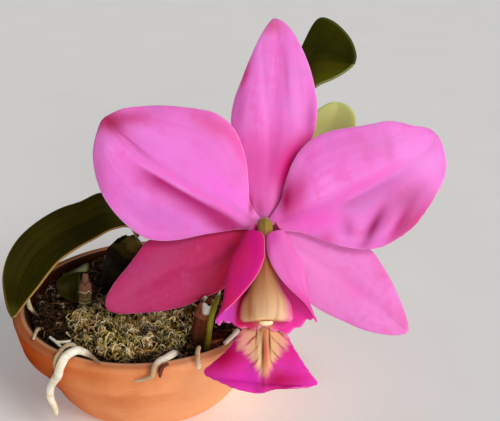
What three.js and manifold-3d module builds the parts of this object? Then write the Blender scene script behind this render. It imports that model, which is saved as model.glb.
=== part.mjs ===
// Cattleya orchid in flower, in its terracotta pan.
// Millimetres, +Z up. The origin is the middle of the pan's foot, on the surface that it stands on.
// The flower has a frame of its own: x to its right, y up along its back, z out of its face.

import * as THREE from 'three';
import { mergeVertices } from 'three/addons/utils/BufferGeometryUtils.js';
import Module from 'manifold-3d';

const wasm = await Module();
wasm.setup();

// ------------------------------------------------------------------ driving sizes

const GAP = 0.3; // clearance between neighbouring pieces

const POT = {
  height: 34,
  rimRadius: 48,
  mouthRadius: 42.7,
  collarHeight: 11.4,
  collarFootRadius: 46.1,
  collarStep: 1.3, // how far the collar stands proud of the body
  footRadius: 31.5,
  floor: 4.5,
  floorRadius: 28,
  drainRadius: 3,
  drainCircle: 15,
  segments: 36,
};

const FIBRE_LEVEL = 31; // mean height of the tree-fern filling
const MOSS = { middle: [-4, -17], lift: 0.4, edge: 1, crown: 2.3 };

const FLOWER = { place: [42.4, -18.2, 70.4], faceUp: 23.15, hubRadius: 2.6, hubFront: -0.4 };
const TEPAL_THICKNESS = 0.9;
const TEPAL_EDGE = 0.65;
const LEAF_THICKNESS = 1.5;
const LEAF_EDGE = 0.9;
const SHEATH_THICKNESS = 0.6;
const LIP_THICKNESS = 0.85;

// The lip's tube and the column share one axis, in the flower's frame.
const AXIS = { start: [0, 0.9, 2.9], direction: [0, -0.854, 0.52], length: 34, arch: 1.0 };

// ------------------------------------------------------------------ small helpers

const vector = (p) => new THREE.Vector3(p[0], p[1], p[2]);
const smooth = (points) => new THREE.CatmullRomCurve3(points.map(vector), false, 'centripetal');
const mix = (a, b, t) => a + (b - a) * t;

// A seeded random source, so that every run gives the same strands.
function randomSource(seed) {
  let state = seed;
  return () => {
    state = (state + 0x6d2b79f5) | 0;
    let t = Math.imul(state ^ (state >>> 15), 1 | state);
    t = (t + Math.imul(t ^ (t >>> 7), 61 | t)) ^ t;
    return ((t ^ (t >>> 14)) >>> 0) / 4294967296;
  };
}

// Reads a value from [place, value] pairs, with straight steps between them.
function along(pairs, t) {
  let k = 1;
  while (k < pairs.length - 1 && t > pairs[k][0]) k += 1;
  const [t0, v0] = pairs[k - 1];
  const [t1, v1] = pairs[k];
  return mix(v0, v1, Math.min(Math.max((t - t0) / (t1 - t0), 0), 1));
}

// A geometry from points and triangles, with its faces turned outward.
function closedGeometry(points, triangles) {
  let volume = 0;
  for (const [a, b, c] of triangles) {
    volume += points[a].dot(points[b].clone().cross(points[c]));
  }
  const geometry = new THREE.BufferGeometry();
  geometry.setAttribute('position', new THREE.Float32BufferAttribute(points.flatMap((p) => p.toArray()), 3));
  geometry.setIndex(triangles.flatMap(([a, b, c]) => (volume > 0 ? [a, b, c] : [a, c, b])));
  return geometry;
}

function toSolid(geometry) {
  const bare = geometry.clone();
  bare.deleteAttribute('normal');
  bare.deleteAttribute('uv');
  const merged = mergeVertices(bare, 1e-4);
  return new wasm.Manifold(new wasm.Mesh({
    numProp: 3,
    vertProperties: Float32Array.from(merged.attributes.position.array),
    triVerts: Uint32Array.from(merged.index.array),
  }));
}

function toGeometry(solid) {
  const mesh = solid.getMesh();
  const geometry = new THREE.BufferGeometry();
  geometry.setAttribute('position', new THREE.Float32BufferAttribute(mesh.vertProperties, 3));
  geometry.setIndex(new THREE.Uint32BufferAttribute(mesh.triVerts, 1));
  return geometry;
}

// The largest body of a solid, without the crumbs that a cut can leave.
function largest(solid) {
  const bodies = solid.decompose();
  bodies.sort((a, b) => b.volume() - a.volume());
  return toGeometry(bodies[0]);
}

// Joins pieces that grow together.
function fuse(geometries) {
  let whole = toSolid(geometries[0]);
  for (const geometry of geometries.slice(1)) {
    whole = whole.add(toSolid(geometry));
  }
  return largest(whole);
}

function cut(geometry, tools) {
  let rest = toSolid(geometry);
  for (const tool of tools) {
    rest = rest.subtract(toSolid(tool));
  }
  return largest(rest);
}

// ------------------------------------------------------------------ blades and stems

// A thin closed blade round the surface middle(u, v), both faces split into triangles alike.
// A ring joins its last column to its first.
function blade(rows, columns, middle, thickness, ring = false) {
  const width = ring ? columns : columns + 1;
  const index = (i, j) => i * width + (j % width);
  const grid = [];
  for (let i = 0; i <= rows; i += 1) {
    for (let j = 0; j < width; j += 1) grid.push(middle(i / rows, j / columns));
  }
  const count = grid.length;
  const upper = [];
  const lower = [];
  for (let i = 0; i <= rows; i += 1) {
    for (let j = 0; j < width; j += 1) {
      const before = ring ? (j + width - 1) % width : Math.max(j - 1, 0);
      const after = ring ? j + 1 : Math.min(j + 1, columns);
      const du = grid[index(Math.min(i + 1, rows), j)].clone().sub(grid[index(Math.max(i - 1, 0), j)]);
      const dv = grid[index(i, after)].clone().sub(grid[index(i, before)]);
      const normal = dv.cross(du).normalize();
      const half = thickness(i / rows, j / columns) / 2;
      upper.push(grid[index(i, j)].clone().addScaledVector(normal, half));
      lower.push(grid[index(i, j)].clone().addScaledVector(normal, -half));
    }
  }
  const triangles = [];
  for (let i = 0; i < rows; i += 1) {
    for (let j = 0; j < columns; j += 1) {
      const [a, b, c, d] = [index(i, j), index(i, j + 1), index(i + 1, j + 1), index(i + 1, j)];
      triangles.push([a, b, c], [a, c, d]);
      triangles.push([count + a, count + c, count + b], [count + a, count + d, count + c]);
    }
  }
  const border = [];
  for (let j = 0; j < columns; j += 1) {
    border.push([index(0, j), index(0, j + 1)], [index(rows, j + 1), index(rows, j)]);
  }
  if (!ring) {
    for (let i = 0; i < rows; i += 1) {
      border.push([index(i, columns), index(i + 1, columns)], [index(i + 1, 0), index(i, 0)]);
    }
  }
  for (const [p, q] of border) triangles.push([q, p, count + p], [q, count + p, count + q]);
  return closedGeometry([...upper, ...lower], triangles);
}

// A blade spread between two edge curves. lift(u, v) moves its middle along `out`.
function spread({ left, right, rows, columns, thick, edge, out, lift }) {
  const leftCurve = smooth(left);
  const rightCurve = smooth(right);
  const direction = vector(out).normalize();
  const middle = (u, v) => leftCurve.getPointAt(u).lerp(rightCurve.getPointAt(u), v)
    .addScaledVector(direction, lift(u, v));
  const rim = (u, v) => Math.pow(Math.max(Math.abs(2 * v - 1), Math.abs(2 * u - 1)), 4);
  return blade(rows, columns, middle, (u, v) => mix(thick, edge, rim(u, v)));
}

// Closes a stack of rings, each a list of points, into one body with flat or pointed ends.
function stack(rings) {
  const sides = rings[0].length;
  const points = rings.flat();
  const middleOf = (ring) => ring.reduce((sum, p) => sum.add(p), new THREE.Vector3()).divideScalar(sides);
  points.push(middleOf(rings[0]), middleOf(rings[rings.length - 1]));
  const [first, last] = [points.length - 2, points.length - 1];
  const triangles = [];
  for (let j = 0; j < sides; j += 1) {
    const k = (j + 1) % sides;
    for (let i = 0; i < rings.length - 1; i += 1) {
      const [a, b] = [i * sides + j, i * sides + k];
      triangles.push([a, b, b + sides], [a, b + sides, a + sides]);
    }
    const end = (rings.length - 1) * sides;
    triangles.push([first, k, j], [last, end + j, end + k]);
  }
  return closedGeometry(points, triangles);
}

// A round stem along a path. `radii` are [place, radius] pairs, `ribs` ridges run along it,
// and `grow` swells it evenly, to cut the hole that it stands in.
function stem({ path, radii, sides, segments, ribs = 0, ribDepth = 0 }, grow = 0) {
  const curve = smooth(path);
  const frames = curve.computeFrenetFrames(segments, false);
  const length = curve.getLength();
  const rings = [];
  for (let i = 0; i <= segments; i += 1) {
    const t = i / segments;
    const centre = curve.getPointAt(t);
    if (i === 0 || i === segments) {
      centre.addScaledVector(frames.tangents[i], (i === 0 ? -1 : 1) * Math.min(grow, 0.1 * length));
    }
    const ring = [];
    for (let j = 0; j < sides; j += 1) {
      const angle = (2 * Math.PI * j) / sides;
      const radius = along(radii, t) * (1 + ribDepth * Math.cos(ribs * angle)) + grow;
      ring.push(centre.clone()
        .addScaledVector(frames.normals[i], radius * Math.cos(angle))
        .addScaledVector(frames.binormals[i], radius * Math.sin(angle)));
    }
    rings.push(ring);
  }
  return stack(rings);
}

// A papery sleeve round a stem, from place t0 to t1 along it. `loose` opens it at its torn upper
// edge, which dips by up to `tear`.
function sleeve(form, { t0, t1, loose, tear }) {
  const [rows, columns] = [3, 12];
  const slack = GAP + 0.2 + SHEATH_THICKNESS / 2;
  const curve = smooth(form.path);
  const middle = (u, v) => {
    const angle = 2 * Math.PI * v;
    const top = mix(t1, t1 - tear, 0.5 + 0.5 * Math.sin(3 * angle + 1) * Math.cos(angle));
    const t = mix(t0, top, u);
    const centre = curve.getPointAt(t);
    const tangent = curve.getTangentAt(t);
    const across = new THREE.Vector3(1, 0, 0).addScaledVector(tangent, -tangent.x).normalize();
    const over = tangent.clone().cross(across);
    const widest = along(form.radii, t) * (1 + (form.ribDepth ?? 0));
    const radius = widest + slack + loose * u * u;
    return centre
      .addScaledVector(across, radius * Math.cos(angle))
      .addScaledVector(over, radius * Math.sin(angle));
  };
  return blade(rows, columns, middle, () => SHEATH_THICKNESS, true);
}

// A turned body from its profile, as radius and height, that starts and ends on the axis.
function turned(profile, segments) {
  const outline = profile.map(([r, z]) => new THREE.Vector2(r, z));
  const geometry = new THREE.LatheGeometry(outline, segments);
  geometry.rotateX(Math.PI / 2);
  geometry.deleteAttribute('normal');
  geometry.deleteAttribute('uv');
  const merged = mergeVertices(geometry, 1e-4);
  const points = [];
  const position = merged.attributes.position;
  for (let i = 0; i < position.count; i += 1) {
    points.push(new THREE.Vector3().fromBufferAttribute(position, i));
  }
  const triangles = [];
  const index = merged.index.array;
  for (let i = 0; i < index.length; i += 3) {
    const [a, b, c] = [index[i], index[i + 1], index[i + 2]];
    if (a !== b && b !== c && c !== a) triangles.push([a, b, c]);
  }
  return closedGeometry(points, triangles);
}

// ------------------------------------------------------------------ materials and assembly

const finish = (color, roughness) => new THREE.MeshStandardMaterial({ color, roughness, metalness: 0 });
const MATERIALS = {
  terracotta: finish(0xd98a58, 0.85),
  fibre: finish(0x3a2a1c, 0.95),
  moss: finish(0x8d8a55, 0.95),
  bulb: finish(0x5b6a2a, 0.6),
  paper: finish(0xa08a5c, 0.9),
  leaf: finish(0x3c4a14, 0.45),
  youngLeaf: finish(0xa9b860, 0.5),
  root: finish(0xe6e0cc, 0.8),
  deadRoot: finish(0x8a5a30, 0.9),
  stalk: finish(0x8fa14a, 0.6),
  tepal: finish(0xe564b4, 0.6),
  lip: finish(0xd0309c, 0.55),
  column: finish(0xe6c79a, 0.5),
  anther: finish(0xf3e6c8, 0.5),
};

const plant = new THREE.Group();
const flower = new THREE.Group();
flower.position.set(...FLOWER.place);
flower.rotation.x = THREE.MathUtils.degToRad(90 - FLOWER.faceUp);
plant.add(flower);

function place(group, name, geometry, material) {
  geometry.computeVertexNormals();
  const mesh = new THREE.Mesh(geometry, material);
  mesh.name = name;
  group.add(mesh);
}

// ------------------------------------------------------------------ pot

// The outer wall from the foot up to the collar, and the inner wall from the mouth down to the floor,
// as radius and height.
const POT_OUTSIDE = [[33, 1.2], [35.5, 5], [38, 10], [40.6, 15], [43, 19.2]];
const POT_INSIDE = [[41.2, 26], [39.2, 20.5], [36, 15], [33.4, 10], [31.2, 7], [POT.floorRadius, POT.floor]];

function potGeometry() {
  const { height, rimRadius, mouthRadius, collarFootRadius, collarStep, footRadius, floor } = POT;
  const collarFoot = height - POT.collarHeight;
  const profile = [
    [0, 0], [footRadius, 0], ...POT_OUTSIDE, [collarFootRadius - collarStep, collarFoot - 0.3],
    [collarFootRadius - 0.3, collarFoot], [collarFootRadius, collarFoot + 0.6],
    [rimRadius, height - 1.2], [rimRadius - 0.9, height - 0.1], [mouthRadius + 0.9, height],
    [mouthRadius, height - 0.8], ...POT_INSIDE, [0, floor],
  ];
  const drains = [];
  for (let k = 0; k < 3; k += 1) {
    const angle = (2 * Math.PI * k) / 3 + Math.PI / 2;
    const drain = new THREE.CylinderGeometry(POT.drainRadius, POT.drainRadius, 3 * floor, 16);
    drain.rotateX(Math.PI / 2);
    drain.translate(POT.drainCircle * Math.cos(angle), POT.drainCircle * Math.sin(angle), floor / 2);
    drains.push(drain);
  }
  return cut(turned(profile, POT.segments), drains);
}

// ------------------------------------------------------------------ bulbs, rhizome and stalk forms

const BULB_FORMS = {
  pseudobulb_left: {
    path: [[-15.2, 9.5, 29.5], [-14.2, 9.8, 36], [-11.8, 10, 43], [-7.8, 10, 48.5], [-4.4, 10.2, 51.8]],
    radii: [[0, 2.4], [0.15, 3.4], [0.4, 4.9], [0.65, 4.6], [0.9, 3.1], [1, 2.4]],
    sides: 14, segments: 8, ribs: 7, ribDepth: 0.05,
  },
  pseudobulb_small: {
    path: [[-22.2, -5.6, 29.5], [-22, -5.2, 34], [-21.5, -4.6, 40], [-21.2, -4, 45]],
    radii: [[0, 1.1], [0.2, 1.35], [0.5, 1.35], [0.8, 1.25], [1, 1.0]],
    sides: 10, segments: 7,
  },
  pseudobulb_right: {
    path: [[26, 13, 29.5], [29, 14.2, 38], [35, 16, 51], [41.5, 18.2, 62], [46.4, 19.8, 69]],
    radii: [[0, 2.6], [0.15, 4.2], [0.4, 6.4], [0.65, 6.0], [0.9, 3.8], [1, 2.8]],
    sides: 14, segments: 8, ribs: 7, ribDepth: 0.05,
  },
  old_bulb: {
    path: [[19.9, -26.6, 29.5], [20.2, -26.8, 35], [21.2, -27, 40.5], [23, -27.3, 45], [24.6, -27.6, 48.6]],
    radii: [[0, 1.9], [0.25, 2.35], [0.5, 2.1], [0.72, 1.5], [0.9, 1.0], [1, 0.7]],
    sides: 10, segments: 8, ribs: 5, ribDepth: 0.1,
  },
};

const RHIZOME = {
  path: [[-24.5, -9.2, 26.6], [-22.2, -5.6, 26.7], [-19.2, 2.2, 26.7], [-15.2, 9.5, 26.7], [-2, 8, 26.6],
    [12, 10, 26.5], [26, 13, 26.4], [32, 13.5, 26.4]],
  radii: [[0, 1.2], [0.06, 1.9], [0.92, 1.9], [1, 1.1]],
  sides: 8, segments: 14,
};

const CUT_STEM = {
  path: [[22.9, -32, 29], [23.3, -32, 32.5], [23.9, -31.9, 37], [24.8, -31.8, 43.4], [26.5, -31.6, 49.4],
    [28, -31.5, 53.4]],
  radii: [[0, 1.05], [0.5, 1.1], [0.85, 1.0], [1, 0.6]],
  sides: 7, segments: 8,
};

// The stalk rises from the filling and turns into the ovary behind the flower. Its end is the hub.
function stalkForm() {
  const turn = THREE.MathUtils.degToRad(FLOWER.faceUp);
  const [x, y, z] = FLOWER.place;
  const behind = (depth) => [x, y + depth * Math.cos(turn), z - depth * Math.sin(turn)];
  return {
    path: [[33, 3, 28], [33.4, 3.4, 35], [37, 4, 46], [41, 1.5, 57],
      behind(14), behind(7), behind(-FLOWER.hubFront)],
    radii: [[0, 1.7], [0.3, 1.5], [0.55, 1.5], [0.68, 2.1], [0.85, 2.3], [1, FLOWER.hubRadius]],
    sides: 12, segments: 14, ribs: 6, ribDepth: 0.04,
  };
}

// ------------------------------------------------------------------ filling and moss

const fibreHeight = (x, y) => FIBRE_LEVEL + 0.5 * Math.sin(0.12 * x + 1.1) * Math.cos(0.11 * y - 0.6);

// The moss patch's outline, as distance from its middle at each angle.
function mossReach(angle) {
  const [mx, my] = MOSS.middle;
  const [dx, dy] = [Math.cos(angle), Math.sin(angle)];
  const own = 21.8 + 1.2 * Math.cos(angle) + 1.6 * Math.cos(2 * angle)
    + 1.1 * Math.sin(3 * angle + 0.7) + 0.7 * Math.sin(7 * angle);
  const wall = POT.mouthRadius - 1.7;
  const b = mx * dx + my * dy;
  const toWall = -b + Math.sqrt(b * b - (mx * mx + my * my - wall * wall));
  return Math.min(own, toWall);
}

// How far out a point lies on the moss patch: 0 in its middle and 1 at its edge.
function mossShare(x, y) {
  const [dx, dy] = [x - MOSS.middle[0], y - MOSS.middle[1]];
  return Math.hypot(dx, dy) / mossReach(Math.atan2(dy, dx));
}

function mossHeight(x, y, share) {
  const lumps = 0.45 * Math.sin(0.9 * x + 0.3 * y) + 0.4 * Math.cos(0.8 * y - 0.5 * x + 1)
    + 0.3 * Math.sin(1.7 * x + 1.3 * y);
  const body = 1 - Math.pow(share, 5);
  return fibreHeight(x, y) + MOSS.lift + MOSS.edge + MOSS.crown * body + lumps * body;
}

// Fine strands, bowed over a surface, with both ends sunk in it. Each lies where `allowed` holds.
function strands({ count, seed, allowed, height, radius, length, bow, sink }) {
  const random = randomSource(seed);
  const list = [];
  while (list.length < count) {
    const [x, y] = [mix(-40, 40, random()), mix(-40, 40, random())];
    const turn = 2 * Math.PI * random();
    const reach = mix(length[0], length[1], random()) / 2;
    const bend = mix(-0.5, 0.5, random());
    const at = (s) => {
      const [px, py] = [x + s * reach * Math.cos(turn + bend * s), y + s * reach * Math.sin(turn + bend * s)];
      const level = height(px, py) + (Math.abs(s) > 0.9 ? -sink : bow);
      return [px, py, level];
    };
    const path = [at(-1), at(-0.45), at(0.45), at(1)];
    if (path.every(allowed)) {
      list.push(stem({ path, radii: [[0, radius], [1, radius * 0.8]], sides: 3, segments: 3 }));
    }
  }
  return list;
}

function fibreGeometry(holes) {
  const sectors = POT.segments;
  const wall = [[POT.mouthRadius - 0.5, FIBRE_LEVEL], ...POT_INSIDE].map(([r, z]) => [r - GAP - 0.2, z]);
  wall[wall.length - 1][1] += GAP + 0.1;
  const rings = [];
  const ringAt = (radius, height) => {
    const ring = [];
    for (let j = 0; j < sectors; j += 1) {
      const angle = (2 * Math.PI * j) / sectors;
      const [x, y] = [radius * Math.cos(angle), radius * Math.sin(angle)];
      ring.push(new THREE.Vector3(x, y, height(x, y)));
    }
    return ring;
  };
  for (const radius of [8, 16, 24, 32]) rings.push(ringAt(radius, fibreHeight));
  rings.push(ringAt(wall[0][0], fibreHeight));
  for (const [radius, z] of wall.slice(1)) rings.push(ringAt(radius, () => z));
  const bare = ([x, y]) => Math.hypot(x, y) < POT.mouthRadius - 3.2 && mossShare(x, y) > 1.12;
  const rods = strands({
    count: 16, seed: 11, allowed: bare, height: fibreHeight,
    radius: 0.75, length: [7, 12], bow: 0.45, sink: 0.9,
  });
  return cut(fuse([stack(rings), ...rods]), holes);
}

function mossGeometry(holes) {
  const sectors = 32;
  const shares = [0.14, 0.34, 0.54, 0.72, 0.87, 0.96, 1];
  const [mx, my] = MOSS.middle;
  const ringAt = (share, height) => {
    const ring = [];
    for (let j = 0; j < sectors; j += 1) {
      const angle = (2 * Math.PI * j) / sectors;
      const reach = share * mossReach(angle);
      const [x, y] = [mx + reach * Math.cos(angle), my + reach * Math.sin(angle)];
      ring.push(new THREE.Vector3(x, y, height(x, y, share)));
    }
    return ring;
  };
  const under = (x, y) => fibreHeight(x, y) + MOSS.lift;
  const rings = [
    ...shares.map((share) => ringAt(share, mossHeight)),
    ...shares.slice().reverse().map((share) => ringAt(share, under)),
  ];
  const height = (x, y) => mossHeight(x, y, mossShare(x, y));
  const threads = strands({
    count: 28, seed: 5, allowed: ([x, y]) => mossShare(x, y) < 0.9, height,
    radius: 0.6, length: [5, 9], bow: 0.5, sink: 0.8,
  });
  return cut(fuse([stack(rings), ...threads]), holes);
}

// ------------------------------------------------------------------ roots

const ROOT_FORMS = {
  root_main: {
    path: [[-9.3, -44.8, 34.8], [-10.7, -43.9, 35.1], [-12.7, -42.4, 35.7], [-15.2, -40.8, 36.2],
      [-17.4, -40, 36.4], [-19, -40.8, 36.4], [-20.3, -42.6, 36.3], [-21.1, -44.3, 35.9], [-21.9, -45.2, 34.4],
      [-22.7, -44.5, 32.2], [-23.7, -43.5, 29.4], [-25.4, -42, 26.4], [-27.1, -40.3, 23.4],
      [-28.3, -38.8, 19.3], [-28.5, -37.6, 15.6], [-28, -35.8, 10.9], [-28.2, -34.5, 7]],
    radii: [[0, 0.45], [0.08, 0.6], [0.14, 1.05], [0.2, 1.45], [0.6, 1.4], [0.85, 1.1], [1, 0.5]],
    sides: 8, segments: 26,
  },
  root_back: {
    path: [[-19.2, -33, 32.8], [-20.3, -34.1, 34.6], [-21.4, -34.9, 35.2], [-22.4, -36.2, 35.4],
      [-23.2, -38.3, 35.4], [-23.6, -40.6, 35.4], [-23.9, -42.6, 35.2], [-24.3, -43.3, 34.1], [-24.6, -42.8, 32.6],
      [-24.9, -42.4, 31.6]],
    radii: [[0, 0.5], [0.2, 0.7], [0.8, 0.65], [1, 0.4]],
    sides: 6, segments: 14,
  },
  root_front: {
    path: [[14.4, -36, 32.4], [13.6, -38.2, 34.2], [12.7, -41.2, 35.7], [11.3, -43.2, 35.9], [9.6, -44.9, 36],
      [8.2, -47.2, 36], [7.7, -49.2, 35.3], [7.4, -49.6, 33.6], [6.6, -49.4, 32.7], [5.2, -49.2, 32],
      [3.4, -49.1, 31.4], [1.3, -49.1, 30.9]],
    radii: [[0, 0.7], [0.15, 1.2], [0.45, 1.15], [0.6, 0.95], [0.85, 0.7], [1, 0.35]],
    sides: 7, segments: 18,
  },
  root_front_stub: {
    path: [[11.8, -46, 35.3], [10.3, -47.5, 35.3], [9.8, -48.9, 34.7], [9.6, -48.9, 33.4],
      [9.5, -48.7, 32.2]],
    radii: [[0, 0.55], [0.45, 0.75], [1, 0.5]],
    sides: 6, segments: 7,
  },
  root_right: {
    path: [[20.9, -33.4, 32.4], [20.9, -36, 34.8], [20.8, -39, 35.7], [20.9, -42.6, 35.8], [21.2, -44.4, 35],
      [21.4, -44.5, 33.9], [21.4, -44.3, 32.7]],
    radii: [[0, 0.7], [0.6, 0.75], [1, 0.6]],
    sides: 6, segments: 10,
  },
  root_rim_right: {
    path: [[31.8, -22.4, 31], [32.8, -24.8, 33.8], [33.2, -27.4, 35.7], [31.5, -31, 35.8], [29.3, -34.8, 35.7]],
    radii: [[0, 0.7], [0.5, 0.9], [1, 0.75]],
    sides: 7, segments: 10,
  },
  root_tip_left: {
    path: [[-37.6, -9.8, 30.6], [-39, -10.8, 33.2], [-40.2, -10.7, 35.1], [-41, -9, 35.9], [-41.3, -7.8, 36.7]],
    radii: [[0, 0.5], [0.4, 0.65], [0.7, 0.85], [1, 0.6]],
    sides: 6, segments: 6,
  },
  root_bit_left: {
    path: [[-35, -18.4, 30.4], [-34.3, -22, 33.3], [-34, -26, 35.2], [-33.9, -29.6, 35.4],
      [-33.8, -31.5, 35.3]],
    radii: [[0, 0.55], [0.6, 0.65], [1, 0.45]],
    sides: 6, segments: 6,
  },
};

// Two thin root ends that lie crossed on the rim of the moss.
const TWIG_PATHS = [
  [[-29, -29.3, 34.6], [-27.4, -31, 34.6], [-25.9, -32.7, 34.5], [-24.2, -34.6, 34.3]],
  [[-25.9, -32.8, 35], [-24.4, -33, 35], [-22.9, -32.8, 35], [-21.4, -32.2, 35]],
];

// ------------------------------------------------------------------ leaves

// A leaf between its two margins, folded along its midrib by `fold`, with a light wave at its edge.
function leafGeometry({ left, right, out, fold, wave = 0, rows, columns }) {
  const lift = (u, v) => {
    const side = Math.abs(2 * v - 1);
    const valley = -fold * (1 - Math.pow(side, 1.3)) * Math.sin(Math.PI * mix(0.12, 0.92, u));
    return valley + wave * Math.pow(side, 3) * Math.sin(9 * u + 2 * v);
  };
  return spread({ left, right, rows, columns, thick: LEAF_THICKNESS, edge: LEAF_EDGE, out, lift });
}

const LEAVES = {
  leaf_left: {
    left: [[-3.5, 11.8, 53.6], [-7.4, 15.4, 61.8], [-17, 18, 67.2], [-25.6, 17, 64.2], [-32.7, 15, 62.4],
      [-39.4, 11, 59.7], [-45.9, 6, 55.2], [-49.2, 0, 50.5], [-49.9, -6, 45.6], [-48.3, -12, 41.4],
      [-46, -17.2, 38], [-44.2, -19.8, 36.5]],
    right: [[-4.2, 9.2, 52.8], [-6.6, 8.9, 57.2], [-12.6, 7.4, 57], [-18.5, 4.4, 54.8], [-23.7, 2, 52.6],
      [-30.3, -2, 48.9], [-33.7, -4.5, 45.5], [-36.6, -8, 42.3], [-39.8, -12, 39.2], [-41.8, -15.5, 37.2],
      [-43.2, -19.2, 36.2]],
    out: [0.1, -0.8, 0.6], fold: 3, wave: 0.5, rows: 13, columns: 8,
  },
  leaf_small: {
    left: [[-22, -2.3, 45.2], [-26.1, 0, 43.6], [-30.7, 0, 41.6], [-32.9, 0, 38.7], [-32, -1, 35.8],
      [-29.4, -2.6, 34.1], [-25.6, -4.2, 33.3]],
    right: [[-20.6, -2.1, 45.5], [-21.2, 2, 46.3], [-23.6, 2, 44.2], [-24.6, 2, 41], [-24.9, 1.2, 37.4],
      [-25.2, -1, 34.8], [-25.4, -3.9, 33.4]],
    out: [-0.2, -0.8, 0.5], fold: 1.2, rows: 9, columns: 4,
  },
  leaf_upper_right: {
    left: [[44.4, 18.4, 71.5], [45.8, 20.6, 80], [48.8, 23, 94], [51.8, 25, 107], [56.2, 25.4, 120.7],
      [61.4, 24, 130.1], [65.9, 20, 129.8], [71.5, 16, 124.8], [73.4, 12, 119.6], [72.8, 10.4, 117.2]],
    right: [[46.6, 17, 71.1], [48.8, 16.8, 78], [51.6, 16.6, 87], [54.4, 16.4, 96], [57.2, 16, 102.5],
      [60.4, 15, 107.8], [66.2, 12.4, 111.4], [69.8, 11.2, 113.9], [72.2, 10, 116.4]],
    out: [0.2, -0.9, 0.2], fold: 2.6, wave: 0.3, rows: 13, columns: 6,
  },
  leaf_right: {
    left: [[46.3, 22.4, 69.4], [48.2, 24.8, 76], [51.8, 27.2, 83], [57, 29.4, 90], [62.3, 30.6, 95.2],
      [66.4, 31.4, 97.6], [69, 31.4, 98.2]],
    right: [[49, 20.6, 68.2], [54.4, 20.6, 72.6], [62, 21.4, 76.6], [70.5, 23.4, 81.5], [76, 25.8, 88.5],
      [76.4, 28, 93.8], [73.8, 30.4, 97.2], [70.6, 31.4, 98.1]],
    out: [0.1, -0.8, 0.5], fold: 1.6, rows: 11, columns: 6,
  },
};

// ------------------------------------------------------------------ flower parts, in the flower's frame

const SEPAL_LEVEL = -3.4;
const PETAL_LEVEL = -1.4;

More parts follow.
